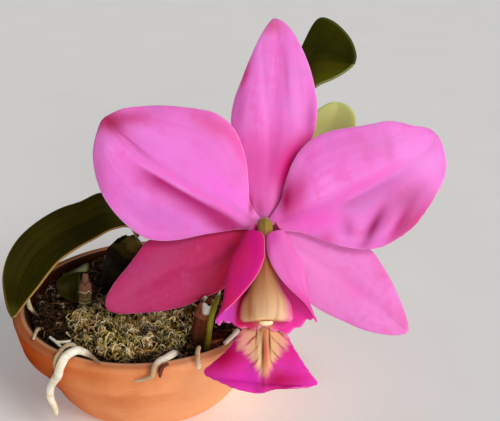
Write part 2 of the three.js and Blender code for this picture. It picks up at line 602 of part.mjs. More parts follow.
// Each tepal's two edges run from its foot at the hub to its tip, as [x, y] in the flower's plane.
// Its face is shaped by `belly` (a forward swell), `tipBack` (how far the tip leans back), `cup` (how
// far the edges fall back), `crease` (the groove of the midrib) and `ripple` (waves at the edges).
const TEPALS = {
  sepal_dorsal: {
    left: [[-3.6, 3.1], [-6.2, 6.5], [-7.4, 10.5], [-8, 18.5], [-9.6, 26.5], [-11.3, 34.4], [-10.3, 42],
      [-8.3, 47.8], [-5.2, 56], [-1.5, 64.3], [1.4, 69.2], [3, 71]],
    right: [[4, 3.1], [6.4, 6.5], [7.8, 10.5], [10.5, 18.5], [14.2, 25.5], [16.8, 31.5], [17.8, 40.2],
      [17.2, 45.5], [15.8, 52.1], [13.5, 58.8], [10.5, 65], [7, 69.6], [4.4, 71.1]],
    rows: 13, columns: 8,
    level: SEPAL_LEVEL, belly: 0, tipBack: 11, tipPower: 2, cup: 1.4,
    crease: { depth: 0.5, at: 0.5, width: 0.1 }, ripple: { size: 0.2, waves: 9, slant: 2 },
  },
  sepal_lower_left: {
    left: [[-3.4, -0.9], [-7, -0.8], [-13, -1.2], [-21.5, -2.2], [-31.4, -4], [-39, -5.3], [-42, -9],
      [-45.7, -13.9], [-50.3, -19.6], [-52.8, -24], [-53.4, -27]],
    right: [[-1.1, -3.4], [-2.6, -6.4], [-5.6, -11.5], [-10, -17.6], [-14.2, -21.6], [-19.8, -24.1],
      [-26.4, -26.9], [-33.1, -28.5], [-41.4, -29.4], [-48.7, -29.6], [-52.4, -28.8]],
    rows: 13, columns: 8,
    level: SEPAL_LEVEL, belly: 1.1, tipBack: 2.2, tipPower: 3, cup: 1.5,
    crease: { depth: 0.5, at: 0.5, width: 0.1 }, ripple: { size: 0.2, waves: 9, slant: 2 },
  },
  sepal_lower_right: {
    left: [[1.1, -3.4], [3, -7], [5.8, -12.6], [9.6, -19.3], [14.7, -25.6], [20, -29.2], [26.6, -32.2],
      [31.6, -34.5], [38.2, -36.3], [44.2, -36.9], [47.2, -36.4]],
    right: [[3.4, -0.9], [8, -1], [15, -2], [24.9, -4.3], [35.2, -8.3], [39.2, -13.6], [42.5, -19.2],
      [44.8, -24.2], [46.8, -29.2], [48, -33.4], [48.2, -35.2]],
    rows: 13, columns: 8,
    level: SEPAL_LEVEL, belly: 1.1, tipBack: 2.4, tipPower: 3, cup: 1.5,
    crease: { depth: 0.5, at: 0.5, width: 0.1 }, ripple: { size: 0.2, waves: 9, slant: 2 },
  },
  petal_left: {
    left: [[-3.1, -1.3], [-8.2, -1.4], [-13.1, -2], [-21.2, -3.3], [-27.7, -4.7], [-34.2, -5.1],
      [-38.8, -4.3], [-43, -1.9], [-47.3, 2], [-50.6, 5.9], [-53.6, 10.8], [-55.6, 16.4], [-56.6, 22.9],
      [-56.2, 27.8], [-55, 32.4], [-54, 34.6]],
    right: [[-3, 1.9], [-5.2, 7.3], [-5.4, 13.2], [-6.2, 21.4], [-8.6, 28.8], [-11.8, 33.6],
      [-16.3, 36.7], [-21.2, 37.9], [-27.7, 38.8], [-34.2, 39.3], [-40.7, 39.1], [-46.6, 38.4],
      [-50.2, 37], [-52.8, 35.8]],
    rows: 14, columns: 10,
    level: PETAL_LEVEL, belly: 3.6, tipBack: 1.2, tipPower: 2, cup: 1.3,
    crease: { depth: 1.5, at: 0.47, width: 0.13 }, ripple: { size: 0.5, waves: 11, slant: 3 },
  },
  petal_right: {
    left: [[3, 1.9], [5.3, 8.2], [6.6, 13.6], [9, 20.4], [11.8, 24.8], [16, 28.5], [21.2, 30.7],
      [26, 31.7], [30.9, 32.4], [35.8, 33.3], [40, 34.1], [43.9, 33.8], [48.9, 32.7], [53.2, 32.2],
      [54.9, 31.2], [55.9, 29.6]],
    right: [[3.1, -1.3], [11.5, -2.4], [18, -4.5], [24.4, -6.7], [30.9, -7.8], [34.8, -7.9], [39, -6.8],
      [43.9, -4.2], [48.9, -0.3], [52.4, 4], [56, 9.5], [58.6, 14.1], [59.8, 19.7], [59.3, 24],
      [58.3, 26.9], [57.2, 29.2]],
    rows: 14, columns: 10,
    level: PETAL_LEVEL, belly: 3.6, tipBack: 1.2, tipPower: 2, cup: 1.3,
    crease: { depth: 1.3, at: 0.5, width: 0.13 }, ripple: { size: 0.7, waves: 10, slant: 4 },
  },
};

function tepalGeometry({ left, right, rows, columns, level, belly, tipBack, tipPower, cup, crease, ripple }) {
  const lift = (u, v) => {
    const swell = Math.sin(Math.PI * u);
    const side = Math.abs(2 * v - 1);
    const groove = Math.exp(-Math.pow((v - crease.at) / crease.width, 2));
    const wave = ripple.size * side ** 2 * u * Math.sin(ripple.waves * u + ripple.slant * v);
    return level + (belly - crease.depth * groove - cup * side ** 3) * swell - tipBack * u ** tipPower + wave;
  };
  const flat = (outline) => outline.map(([x, y]) => [x, y, 0]);
  return spread({
    left: flat(left), right: flat(right), rows, columns, lift,
    thick: TEPAL_THICKNESS, edge: TEPAL_EDGE, out: [0, 0, 1],
  });
}

const axisDirection = vector(AXIS.direction).normalize();
const axisUp = new THREE.Vector3(0, axisDirection.z, -axisDirection.y); // towards the column's back
const axisPoint = (s) => vector(AXIS.start).addScaledVector(axisDirection, AXIS.length * s)
  .addScaledVector(axisUp, AXIS.arch * Math.sin(Math.PI * Math.min(s, 1)));

const COLUMN = {
  halfWidth: [[0, 2.4], [0.3, 2.6], [0.45, 3.0], [0.6, 4.2], [0.72, 5.8], [0.87, 8.2], [0.95, 8.3], [1, 7.2]],
  halfDepth: [[0, 2.0], [0.5, 2.2], [0.85, 2.0], [1, 1.2]],
  droop: [[0, 0], [0.5, 0.2], [0.87, 1.8], [1, 1.8]],
};

function columnGeometry() {
  const sides = 14;
  const steps = 10;
  const rings = [];
  for (let i = 0; i <= steps; i += 1) {
    const s = i / steps;
    const wide = along(COLUMN.halfWidth, s);
    const deep = along(COLUMN.halfDepth, s);
    const droop = along(COLUMN.droop, s);
    const ring = [];
    for (let j = 0; j < sides; j += 1) {
      const angle = (2 * Math.PI * j) / sides;
      const across = Math.cos(angle);
      const up = deep * Math.sin(angle) - droop * across * across;
      ring.push(axisPoint(s).add(new THREE.Vector3(wide * across, 0, 0)).addScaledVector(axisUp, up));
    }
    rings.push(ring);
  }
  return stack(rings);
}

function antherGeometry() {
  const start = axisPoint(1).addScaledVector(axisDirection, 0.8).addScaledVector(axisUp, -0.5);
  const end = start.clone().addScaledVector(axisDirection, 1.9).addScaledVector(axisUp, -0.7);
  return stem({
    path: [start.toArray(), start.clone().lerp(end, 0.5).toArray(), end.toArray()],
    radii: [[0, 1.5], [0.5, 1.5], [0.8, 1.1], [1, 0.5]], sides: 10, segments: 5,
  });
}

const TUBE = {
  halfWidth: [[0, 3.5], [0.1, 5.4], [0.18, 6.9], [0.27, 8.2], [0.52, 11.5], [0.82, 12.8], [0.93, 14],
    [1, 15.4]],
  floorDepth: [[0, 3.0], [0.3, 4.6], [0.7, 5.6], [1, 5.4]],
  roofHeight: [[0, 3.1], [0.5, 3.6], [1, 3.4]],
  slitLeft: [[0, 3.4], [0.1, 5], [0.15, 3.6], [0.22, 0.5], [0.46, 0.4], [0.58, 1.5], [0.72, 4.8],
    [0.86, 9.2], [0.93, 12], [1, 15.4]],
  slitRight: [[0, 3.4], [0.1, 5], [0.15, 3.6], [0.22, 0.5], [0.38, 0.4], [0.47, 1.5], [0.6, 3.6],
    [0.73, 6.9], [0.87, 12], [0.93, 13.7], [1, 15.4]],
  stations: [0, 0.06, 0.12, 0.17, 0.23, 0.35, 0.47, 0.58, 0.7, 0.82, 0.92, 1],
  columns: 18,
};

// A point of the lip's tube, whose sizes are [place along the axis, size] pairs. The angle is 0 at its
// floor and grows over its right side to the slit along its top.
function tubePoint(s, angle) {
  const up = Math.cos(angle) > 0 ? -along(TUBE.floorDepth, s) : -along(TUBE.roofHeight, s);
  return axisPoint(s)
    .add(new THREE.Vector3(along(TUBE.halfWidth, s) * Math.sin(angle), 0, 0))
    .addScaledVector(axisUp, up * Math.cos(angle));
}

function sideLobes() {
  const last = TUBE.stations.length - 1;
  const edgeAngle = (s, slit) => {
    const share = along(slit, s) / along(TUBE.halfWidth, s);
    return Math.PI - Math.asin(Math.min(share, 1));
  };
  const middle = (u, v) => {
    const s = TUBE.stations[Math.round(u * last)];
    const angle = mix(-edgeAngle(s, TUBE.slitLeft), edgeAngle(s, TUBE.slitRight), v);
    const flute = 0.9 * Math.sin(20 * v) * Math.pow(u, 8);
    return tubePoint(s, angle).addScaledVector(axisDirection, flute);
  };
  return blade(last, TUBE.columns, middle, () => LIP_THICKNESS);
}

const FAN = {
  left: [[-4, -23.5, 9.6], [-5.2, -27.8, 11.8], [-6.4, -30.6, 13.6], [-8.3, -33, 15.6],
    [-12.2, -38, 18.4], [-16.6, -41.6, 19.6], [-19, -43.8, 19.6], [-18, -45.3, 20], [-14.5, -46.6, 21.3],
    [-8.2, -48.8, 22.4], [-2.4, -49.9, 22.4]],
  right: [[4, -23.5, 9.6], [5.2, -27.8, 11.8], [6, -30.6, 13.6], [6.8, -33.8, 15.8], [10, -39.4, 18.8],
    [13.6, -44.6, 19.8], [15.6, -47.2, 19.8], [14.6, -48.2, 20.2], [8.3, -48.4, 21.8],
    [3.2, -48.6, 22.4], [-1.2, -49.8, 22.4]],
  rows: 12, columns: 8, bulge: 1.6, tooth: 0.45,
};

// The two keels that run down the fan: places along it, and the share of its width that they sit at.
const KEEL_STATIONS = [0.04, 0.16, 0.3, 0.45, 0.6];
const KEEL_PLACES = [0.44, 0.56];

// The fan's middle surface bulges forward between its margins, which have small saw teeth.
function fanPoint(u, v, left, right) {
  const point = left.getPointAt(u).lerp(right.getPointAt(u), v);
  const across = 2 * v - 1;
  const margin = Math.abs(across) > 0.99 ? Math.sign(across) : 0;
  const tooth = FAN.tooth * (((u * 17) % 1) - 0.5) * Math.min(1, 4 * u);
  const bulge = FAN.bulge * Math.sin(Math.PI * u) * (1 - across * across) + 0.35 * Math.sin(14 * v) * u;
  return point.add(new THREE.Vector3(margin * tooth, -0.6 * Math.abs(margin) * tooth, bulge));
}

function lipGeometry() {
  const left = smooth(FAN.left);
  const right = smooth(FAN.right);
  const fan = blade(FAN.rows, FAN.columns, (u, v) => fanPoint(u, v, left, right), () => LIP_THICKNESS);
  const proud = new THREE.Vector3(0, 0.3, 0.35);
  const keels = KEEL_PLACES.map((place) => stem({
    path: KEEL_STATIONS.map((u) => {
      const v = mix(0.5, place, 1 - 0.35 * u);
      return fanPoint(u, v, left, right).add(proud).toArray();
    }),
    radii: [[0, 0.35], [0.3, 0.6], [0.8, 0.5], [1, 0.3]], sides: 5, segments: 5,
  }));
  return fuse([sideLobes(), fan, ...keels]);
}

// ------------------------------------------------------------------ the parts, placed

place(plant, 'pot', potGeometry(), MATERIALS.terracotta);

const stalk = stalkForm();
const holes = [
  ...Object.values(BULB_FORMS), RHIZOME, CUT_STEM, stalk, ...Object.values(ROOT_FORMS),
].map((form) => stem(form, GAP + 0.05));
place(plant, 'fern_fibre', fibreGeometry(holes), MATERIALS.fibre);
place(plant, 'moss_cover', mossGeometry(holes), MATERIALS.moss);

const sheaths = [
  ['sheath_left', BULB_FORMS.pseudobulb_left, { t0: 0.62, t1: 0.93, loose: 0.5, tear: 0.16 }],
  ['sheath_small', BULB_FORMS.pseudobulb_small, { t0: 0.3, t1: 0.85, loose: 0.15, tear: 0.16 }],
  ['sheath_old', BULB_FORMS.old_bulb, { t0: 0.62, t1: 0.96, loose: 0.6, tear: 0.1 }],
  ['stalk_bract', stalk, { t0: 0.1, t1: 0.26, loose: 0.7, tear: 0.05 }],
];
place(plant, 'rhizome', stem(RHIZOME), MATERIALS.bulb);
for (const [name, form] of Object.entries(BULB_FORMS)) {
  place(plant, name, stem(form), name === 'old_bulb' ? MATERIALS.paper : MATERIALS.bulb);
}
for (const [name, form, torn] of sheaths) {
  place(plant, name, sleeve(form, torn), MATERIALS.paper);
}
place(plant, 'cut_stem', stem(CUT_STEM), MATERIALS.stalk);
place(plant, 'flower_stalk', stem(stalk), MATERIALS.stalk);

for (const [name, form] of Object.entries(ROOT_FORMS)) {
  place(plant, name, stem(form), name === 'root_front_stub' ? MATERIALS.deadRoot : MATERIALS.root);
}
const twigs = TWIG_PATHS.map((path) => stem({ path, radii: [[0, 0.45], [1, 0.5]], sides: 5, segments: 5 }));
place(plant, 'root_twigs', fuse(twigs), MATERIALS.root);

for (const [name, form] of Object.entries(LEAVES)) {
  place(plant, name, leafGeometry(form), name === 'leaf_right' ? MATERIALS.youngLeaf : MATERIALS.leaf);
}

for (const [name, form] of Object.entries(TEPALS)) {
  place(flower, name, tepalGeometry(form), MATERIALS.tepal);
}
place(flower, 'lip', lipGeometry(), MATERIALS.lip);
place(flower, 'column', columnGeometry(), MATERIALS.column);
place(flower, 'anther_cap', antherGeometry(), MATERIALS.anther);

export default plant;
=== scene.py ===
"""Looks for the cattleya orchid in its terracotta pan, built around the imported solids."""

import math

import bpy
import numpy as np
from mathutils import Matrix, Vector, noise


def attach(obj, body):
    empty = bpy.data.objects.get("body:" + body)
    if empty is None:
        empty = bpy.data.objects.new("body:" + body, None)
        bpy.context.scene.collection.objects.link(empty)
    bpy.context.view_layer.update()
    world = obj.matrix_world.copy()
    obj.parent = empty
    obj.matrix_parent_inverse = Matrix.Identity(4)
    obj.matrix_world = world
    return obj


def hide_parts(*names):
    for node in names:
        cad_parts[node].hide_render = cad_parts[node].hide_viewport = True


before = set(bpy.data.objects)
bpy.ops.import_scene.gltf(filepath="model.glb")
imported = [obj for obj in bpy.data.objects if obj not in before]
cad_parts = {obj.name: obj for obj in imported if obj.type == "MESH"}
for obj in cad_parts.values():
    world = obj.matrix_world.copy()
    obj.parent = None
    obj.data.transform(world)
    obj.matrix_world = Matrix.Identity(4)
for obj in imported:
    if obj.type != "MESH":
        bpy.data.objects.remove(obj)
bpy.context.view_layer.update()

MM = 0.001
BODY = "root"


def show(name, data):
    """An object in the scene for this mesh, light or camera."""
    made = bpy.data.objects.new(name, data)
    bpy.context.scene.collection.objects.link(made)
    return made


# ------------------------------------------------------------------ camera

FACE_UP = math.radians(23.15)
camera_data = bpy.data.cameras.new("camera")
camera_data.lens = 57.6
camera_data.sensor_width = 36
camera_data.sensor_fit = "HORIZONTAL"
camera_data.clip_start = 0.01
camera = show("camera", camera_data)
camera.location = (0.0375, -0.2572, 0.1778)
camera.rotation_euler = (math.pi / 2 - FACE_UP, 0, 0)
bpy.context.scene.camera = camera

# ------------------------------------------------------------------ sizes shared with the solids, in mm

FLOWER_PLACE = np.array([42.4, -18.2, 70.4])
FLOWER_X = np.array([1.0, 0.0, 0.0])
FLOWER_Y = np.array([0.0, math.sin(FACE_UP), math.cos(FACE_UP)])
FLOWER_Z = np.array([0.0, -math.cos(FACE_UP), math.sin(FACE_UP)])
UP = np.array([0, 0, 1.0])

MOUTH_RADIUS = 42.7
MOSS_MIDDLE = (-4.0, -17.0)
MOSS_LIFT = 0.4
MOSS_EDGE = 1.0
MOSS_CROWN = 2.3

# ------------------------------------------------------------------ curves and surfaces, in mm

SPLINE_STEPS = 40
EASED_STEPS = 200


def mix(a, b, t):
    return a + (b - a) * t


def bell(x, middle, reach):
    """1 at the middle, falling off over `reach`."""
    return np.exp(-((x - middle) / reach) ** 2)


def around(count):
    """Even angles once round a circle."""
    return np.linspace(0, 2 * math.pi, count, endpoint=False)


def polar(radius, angle, height, middle=(0, 0)):
    """Points at these radii, angles and heights about an upright line."""
    x, y = middle[0] + radius * np.cos(angle), middle[1] + radius * np.sin(angle)
    return np.stack([x, y, np.broadcast_to(height, x.shape)], -1)


def along(pairs, t):
    """Reads values from (place, value) pairs, with straight steps between them."""
    places, values = zip(*pairs)
    return np.interp(t, places, values)


def spline(points, places):
    """Points at these shares of the length of the centripetal curve through `points`."""
    p = np.array(points, float)
    p = np.vstack([2 * p[0] - p[1], p, 2 * p[-1] - p[-2]])
    steps = np.linspace(0, 1, SPLINE_STEPS, endpoint=False)[:, None]
    dense = []
    for i in range(1, len(p) - 2):
        x0, x1, x2, x3 = p[i - 1:i + 3]
        d0, d1, d2 = (max(np.linalg.norm(b - a) ** 0.5, 1e-3) for a, b in ((x0, x1), (x1, x2), (x2, x3)))
        t1 = ((x1 - x0) / d0 - (x2 - x0) / (d0 + d1) + (x2 - x1) / d1) * d1
        t2 = ((x2 - x1) / d1 - (x3 - x1) / (d1 + d2) + (x3 - x2) / d2) * d1
        a = -3 * x1 + 3 * x2 - 2 * t1 - t2
        b = 2 * x1 - 2 * x2 + t1 + t2
        dense.append(x1 + t1 * steps + a * steps ** 2 + b * steps ** 3)
    dense = np.vstack([*dense, p[-2][None]])
    length = np.concatenate([[0], np.cumsum(np.linalg.norm(np.diff(dense, axis=0), axis=1))])
    at = np.asarray(places) * length[-1]
    return np.stack([np.interp(at, length, dense[:, k]) for k in range(dense.shape[1])], axis=-1)


def eased(pairs, t):
    """Reads values from (place, value) pairs on a smooth curve."""
    path = spline(pairs, np.linspace(0, 1, EASED_STEPS))
    return np.interp(t, path[:, 0], path[:, 1])


def unit(vectors):
    return vectors / np.maximum(np.linalg.norm(vectors, axis=-1, keepdims=True), 1e-9)


def roughness_at(points, size, seed):
    """Smooth noise, from -1 to 1, at each point; size is that of its lumps."""
    flat = np.asarray(points, float).reshape(-1, 3) / size + seed
    found = [noise.noise(Vector(p)) for p in flat]
    return np.array(found).reshape(np.shape(points)[:-1])


def to_row(points):
    """From the flower's frame to the row frame."""
    x, y, z = points[..., 0:1], points[..., 1:2], points[..., 2:3]
    return FLOWER_PLACE + x * FLOWER_X + y * FLOWER_Y + z * FLOWER_Z


def grid_faces(rows, columns, ring=False, flip=False, start=0):
    """Quads of a grid of corners, as lists; a ring closes from its last column to its first."""
    width = columns if ring else columns + 1
    i, j = np.meshgrid(np.arange(rows), np.arange(columns), indexing="ij")
    k = (j + 1) % width
    corners = [i * width + j, i * width + k, (i + 1) * width + k, (i + 1) * width + j]
    quads = np.stack(corners, -1).reshape(-1, 4)
    return ((quads[:, ::-1] if flip else quads) + start).tolist()


def tube_faces(rings, sides, flip=False):
    """Faces of a tube of rings, with a cap at both ends."""
    last = (rings - 1) * sides
    caps = [list(range(sides))[::-1], [last + k for k in range(sides)]]
    return grid_faces(rings - 1, sides, True, flip) + [cap[::-1] if flip else cap for cap in caps]


class Form:
    """A mesh in the making: corners, faces and values at the corners."""

    def __init__(self):
        self.points, self.faces, self.values, self.count = [], [], {}, 0

    def add(self, points, faces, **values):
        points = np.asarray(points, float).reshape(-1, 3)
        self.points.append(points)
        self.faces += [[self.count + k for k in face] for face in faces]
        for name, value in values.items():
            self.values.setdefault(name, []).append(np.asarray(value, float).reshape(len(points), -1))
        self.count += len(points)
        return self

    def mesh(self, name):
        mesh = bpy.data.meshes.new(name)
        mesh.from_pydata((np.vstack(self.points) * MM).tolist(), [], self.faces)
        return mesh

    def piece(self, name, slot, material, node):
        """A visible piece that takes the place of a node."""
        mesh = self.mesh(name)
        for key, parts in self.values.items():
            rows = np.vstack(parts).astype(np.float32)
            kind, field = ("FLOAT_VECTOR", "vector") if rows.shape[1] == 3 else ("FLOAT", "value")
            mesh.attributes.new(key, kind, "POINT").data.foreach_set(field, rows.ravel())
        mesh.polygons.foreach_set("use_smooth", [True] * len(mesh.polygons))
        mesh.materials.append(material)
        mesh.validate()
        piece = show(name, mesh)
        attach(piece, BODY)
        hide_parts(node)
        return piece


def margin_places(columns, fine):
    """Even places from 0 to 1 with a few more close to both ends, for a rounded margin."""
    inner = np.linspace(0, 1, columns + 1)[1:-1]
    inner = inner[(inner > fine[-1] * 1.3) & (inner < 1 - fine[-1] * 1.3)]
    low = np.array([0.0, *fine])
    return np.concatenate([low, inner, 1 - low[::-1]])


def spread(spec, rows, columns, fine=(0.004, 0.012, 0.025)):
    """A sheet between two margins: places along and across it, its points and its width."""
    u = np.linspace(0, 1, rows + 1)
    left, right = spline(spec["left"], u), spline(spec["right"], u)
    uu, vv = np.meshgrid(u, margin_places(columns, fine), indexing="ij")
    sheet = left[:, None] * (1 - vv[..., None]) + right[:, None] * vv[..., None]
    return uu, vv, sheet, np.linalg.norm(left - right, axis=-1)[:, None]


def middle_length(sheet):
    return np.linalg.norm(np.diff(sheet[:, sheet.shape[1] // 2], axis=0), axis=1).sum()


def to_margin(uu, vv, width, length):
    """Distance of each place on a sheet from its sides and its tip."""
    return np.minimum(np.minimum(vv, 1 - vv) * width, (1 - uu) * length)


def thinned(rim, edge, full, reach=0.5):
    """Thickness that falls from `full` to `edge` at the margin."""
    return mix(edge, full, 1 - np.exp(-rim / reach))


def add_blade(target, middle, thickness, ring=False, **values):
    """Both faces of a thin blade round the grid `middle` (rows, columns, 3), closed along its margin."""
    rows, width = middle.shape[0] - 1, middle.shape[1]
    columns = width if ring else width - 1
    du = np.gradient(middle, axis=0)
    if ring:
        dv = np.roll(middle, -1, axis=1) - np.roll(middle, 1, axis=1)
    else:
        dv = np.gradient(middle, axis=1)
    normal = unit(np.cross(dv, du))
    half = np.broadcast_to(np.asarray(thickness, float) / 2, middle.shape[:2])[..., None]
    count = (rows + 1) * width
    faces = grid_faces(rows, columns, ring, True) + grid_faces(rows, columns, ring, False, count)
    border = []
    last = rows * width
    for j in range(columns):
        k = (j + 1) % width
        border += [(j, k), (last + k, last + j)]
    if not ring:
        for a in range(0, last, width):
            b = a + width
            border += [(b, a), (a + columns, b + columns)]
    faces += [[p, q, count + q, count + p] for p, q in border]
    both = {name: np.concatenate([np.reshape(value, (count, -1))] * 2) for name, value in values.items()}
    points = [(middle + normal * half).reshape(-1, 3), (middle - normal * half).reshape(-1, 3)]
    return target.add(np.concatenate(points), faces, face=np.repeat([1.0, -1.0], count), **both)


def sweep_frames(centres):
    """Two sideways directions along a path, which turn as little as they can."""
    tangent = unit(np.gradient(centres, axis=0))
    side = np.cross(tangent[0], UP if abs(tangent[0][2]) < 0.9 else FLOWER_X)
    sides = []
    for t in tangent:
        side = side - t * np.dot(side, t)
        side = side / np.linalg.norm(side)
        sides.append(side)
    return np.array(sides), np.cross(tangent, sides)


def add_stem(form, path, radii, sides, segments, shape):
    """A round stem along a path; shape(t, angle) changes its radius."""
    t = np.linspace(0, 1, segments + 1)
    centres = spline(path, t)
    across, over = sweep_frames(centres)
    places, turns = np.meshgrid(t, around(sides), indexing="ij")
    radius = along(radii, places) * shape(places, turns)
    points = (centres[:, None] + across[:, None] * (radius * np.cos(turns))[..., None]
              + over[:, None] * (radius * np.sin(turns))[..., None])
    own = np.stack([places, turns / (2 * math.pi), radius], -1)
    return form.add(points, tube_faces(segments + 1, sides), form=own)


def add_threads(form, paths, radii, tones, sides):
    """Many fine threads at once: paths (n, k, 3), radii (n, k), and a tone for each."""
    n, k = paths.shape[:2]
    tangent = unit(np.gradient(paths, axis=1))
    across = unit(np.cross(tangent, (0.1, 0.2, 1.0)))
    over = np.cross(tangent, across)
    angle = around(sides)
    ring = across[:, :, None] * np.cos(angle)[:, None] + over[:, :, None] * np.sin(angle)[:, None]
    points = paths[:, :, None] + ring * radii[:, :, None, None]
    one = tube_faces(k, sides)
    each = k * sides
    faces = [[base + c for c in face] for base in range(0, n * each, each) for face in one]
    form.add(points, faces, tone=np.repeat(tones, each))


# ------------------------------------------------------------------ shader nodes


def linear(colour):
    """A screen colour, 0 to 255, as a shader takes it; a socket stays as it is."""
    if not isinstance(colour, tuple):
        return colour
    values = [c / 255 for c in colour]
    return [c / 12.92 if c <= 0.04045 else ((c + 0.055) / 1.055) ** 2.4 for c in values] + [1.0]


class Shader:
    """A node material; its colour is built up coat by coat, from screen colours."""

    def __init__(self, name, roughness, specular):
        self.material = bpy.data.materials.new(name)
        self.material.use_nodes = True
        self.tree = self.material.node_tree
        self.surface = self.tree.nodes["Principled BSDF"]
        self.set("Specular IOR Level", specular)
        self.set("Roughness", roughness)
        self.colour = None

    def feed(self, target, value):
        if isinstance(value, bpy.types.NodeSocket):
            self.tree.links.new(value, target)
        else:
            target.default_value = value

    def set(self, socket, value):
        self.feed(self.surface.inputs[socket], value)

    def node(self, kind, inputs=(), **settings):
        node = self.tree.nodes.new(kind)
        for key, value in settings.items():
            setattr(node, key, value)
        for key, value in dict(inputs).items():
            self.feed(node.inputs[key], value)
        return node

    def value(self, name):
        """A number that is kept at the mesh's corners."""
        return self.node("ShaderNodeAttribute", attribute_name=name).outputs["Fac"]

    def vector(self, name):
        return self.node("ShaderNodeAttribute", attribute_name=name).outputs["Vector"]

    def split(self, vector):
        return self.node("ShaderNodeSeparateXYZ", {0: vector}).outputs

    def join(self, x, y=0.0, z=0.0):
        return self.node("ShaderNodeCombineXYZ", {0: x, 1: y, 2: z}).outputs[0]

    def stretched(self, vector, x, y, z):
        return self.node("ShaderNodeVectorMath", {0: vector, 1: (x, y, z)}, operation="MULTIPLY").outputs[0]

    def length(self, vector):
        return self.node("ShaderNodeVectorMath", {0: vector}, operation="LENGTH").outputs["Value"]

    def place(self):
        """The place in the row frame, in millimetres."""
        return self.stretched(self.node("ShaderNodeTexCoord").outputs["Object"], 1000, 1000, 1000)

    def math(self, operation, a, b=0.0):
        return self.node("ShaderNodeMath", {0: a, 1: b}, operation=operation).outputs[0]

    def times(self, a, b):
        return self.math("MULTIPLY", a, b)

    def plus(self, a, b):
        return self.math("ADD", a, b)

    def minus(self, a, b):
        return self.math("SUBTRACT", a, b)

    def gap(self, a, b):
        return self.math("ABSOLUTE", self.minus(a, b))

    def blend(self, a, a_share, b, b_share):
        return self.plus(self.times(a, a_share), self.times(b, b_share))

    def noise(self, vector, scale, detail=3.0, roughness=0.55, distortion=0.0):
        return self.node("ShaderNodeTexNoise", {
            "Vector": vector, "Scale": scale, "Detail": detail, "Roughness": roughness,
            "Distortion": distortion,
        }).outputs["Fac"]

    def streaks(self, x, y, x_scale, y_scale, *detail):
        """Noise over two of the surface's own measures, drawn out by their scales."""
        return self.noise(self.join(self.times(x, x_scale), self.times(y, y_scale)), 1.0, *detail)

    def range(self, value, low, high, to_low=0.0, to_high=1.0):
        return self.node("ShaderNodeMapRange", {
            "Value": value, "From Min": low, "From Max": high, "To Min": to_low, "To Max": to_high,
        }, interpolation_type="SMOOTHSTEP").outputs[0]

    def ramp(self, value, stops):
        node = self.node("ShaderNodeValToRGB", {0: value})
        elements = node.color_ramp.elements
        while len(elements) < len(stops):
            elements.new(0.5)
        for element, (place, colour) in zip(elements, stops):
            element.position = place
            element.color = linear(colour)
        return node.outputs[0]

    def mix(self, share, a, b):
        """From colour a to colour b; the node's inputs 6 and 7 are its colours."""
        return self.node("ShaderNodeMix", {0: share, 6: linear(a), 7: linear(b)}, data_type="RGBA").outputs[2]

    def coat(self, share, tint):
        """Lays a tint over the colour so far, as thick as share tells."""
        self.colour = self.mix(share, self.colour, tint)

    def turned(self, vector, centre, turn, size=(1, 1), depth=1):
        """The place as measured from a centre along turned axes, in units of size."""
        return self.node("ShaderNodeMapping", {
            "Vector": vector, "Location": (*centre, 0), "Rotation": (0, 0, math.radians(turn)),
            "Scale": (*size, depth),
        }, vector_type="TEXTURE").outputs[0]

    def spot(self, vector, centre, size, turn, strength):
        """A soft ellipse: 1 at its centre, falling off over its two half sizes."""
        reach = self.length(self.turned(vector, centre, turn, size, 1e4))
        fall = self.math("EXPONENT", self.times(self.times(reach, reach), -1.0))
        return self.times(fall, strength)

    def marks(self, vector, rows):
        """Coats in soft ellipses: tint, centre, half sizes, turn in degrees and strength."""
        for tint, *spot in rows:
            self.coat(self.spot(vector, *spot), tint)

    def band(self, vector, centre, half, turn, above, below, strength):
        """A band along a line: it fades over `above` and `below` across the line, and at both ends."""
        p, q, _ = self.split(self.turned(vector, centre, turn))
        ends = self.range(self.math("ABSOLUTE", p), 0.45 * half, half, strength, 0.0)
        return self.times(self.times(self.range(q, 0.0, above, 1.0, 0.0), self.range(q, -below, 0.0)), ends)

    def soft(self, weight, depth, tints=None):
        """Lets light into the flesh, some `depth` millimetres deep."""
        self.set("Subsurface Weight", weight)
        self.set("Subsurface Scale", depth * MM)
        if tints:
            self.set("Subsurface Radius", tints)

    def finish(self, height, depth, strength):
        """The material with its colour and a relief of `depth` millimetres."""
        self.set("Base Color", self.colour)
        relief = {"Height": height, "Distance": depth * MM, "Strength": strength}
        self.set("Normal", self.node("ShaderNodeBump", relief).outputs[0])
        return self.material


# ------------------------------------------------------------------ lights, floor

FLOOR_REACH = 3.0


def sun(name, azimuth, elevation, strength, spread_angle, colour=(1, 1, 1)):
    """A broad distant light; azimuth is in degrees to the right of the viewer."""
    data = bpy.data.lights.new(name, "SUN")
    data.energy = strength
    data.angle = math.radians(spread_angle)
    data.color = colour
    turn, rise = math.radians(azimuth), math.radians(elevation)
    towards = Vector((math.sin(turn) * math.cos(rise), -math.cos(turn) * math.cos(rise), math.sin(rise)))
    show(name, data).rotation_euler = towards.to_track_quat("Z", "Y").to_euler()


sun("key", 46, 40, 1.2, 22, (1, 0.985, 0.96))
sun("front", 14, 7, 1.25, 30)
sun("side", 74, 10, 0.8, 20, (1, 0.98, 0.95))

world = bpy.data.worlds.new("studio")
world.use_nodes = True
sky = world.node_tree.nodes["Background"].inputs
sky["Color"].default_value = (0.9, 0.91, 0.92, 1)
sky["Strength"].default_value = 0.21
bpy.context.scene.world = world
bpy.context.scene.view_settings.view_transform = "Standard"

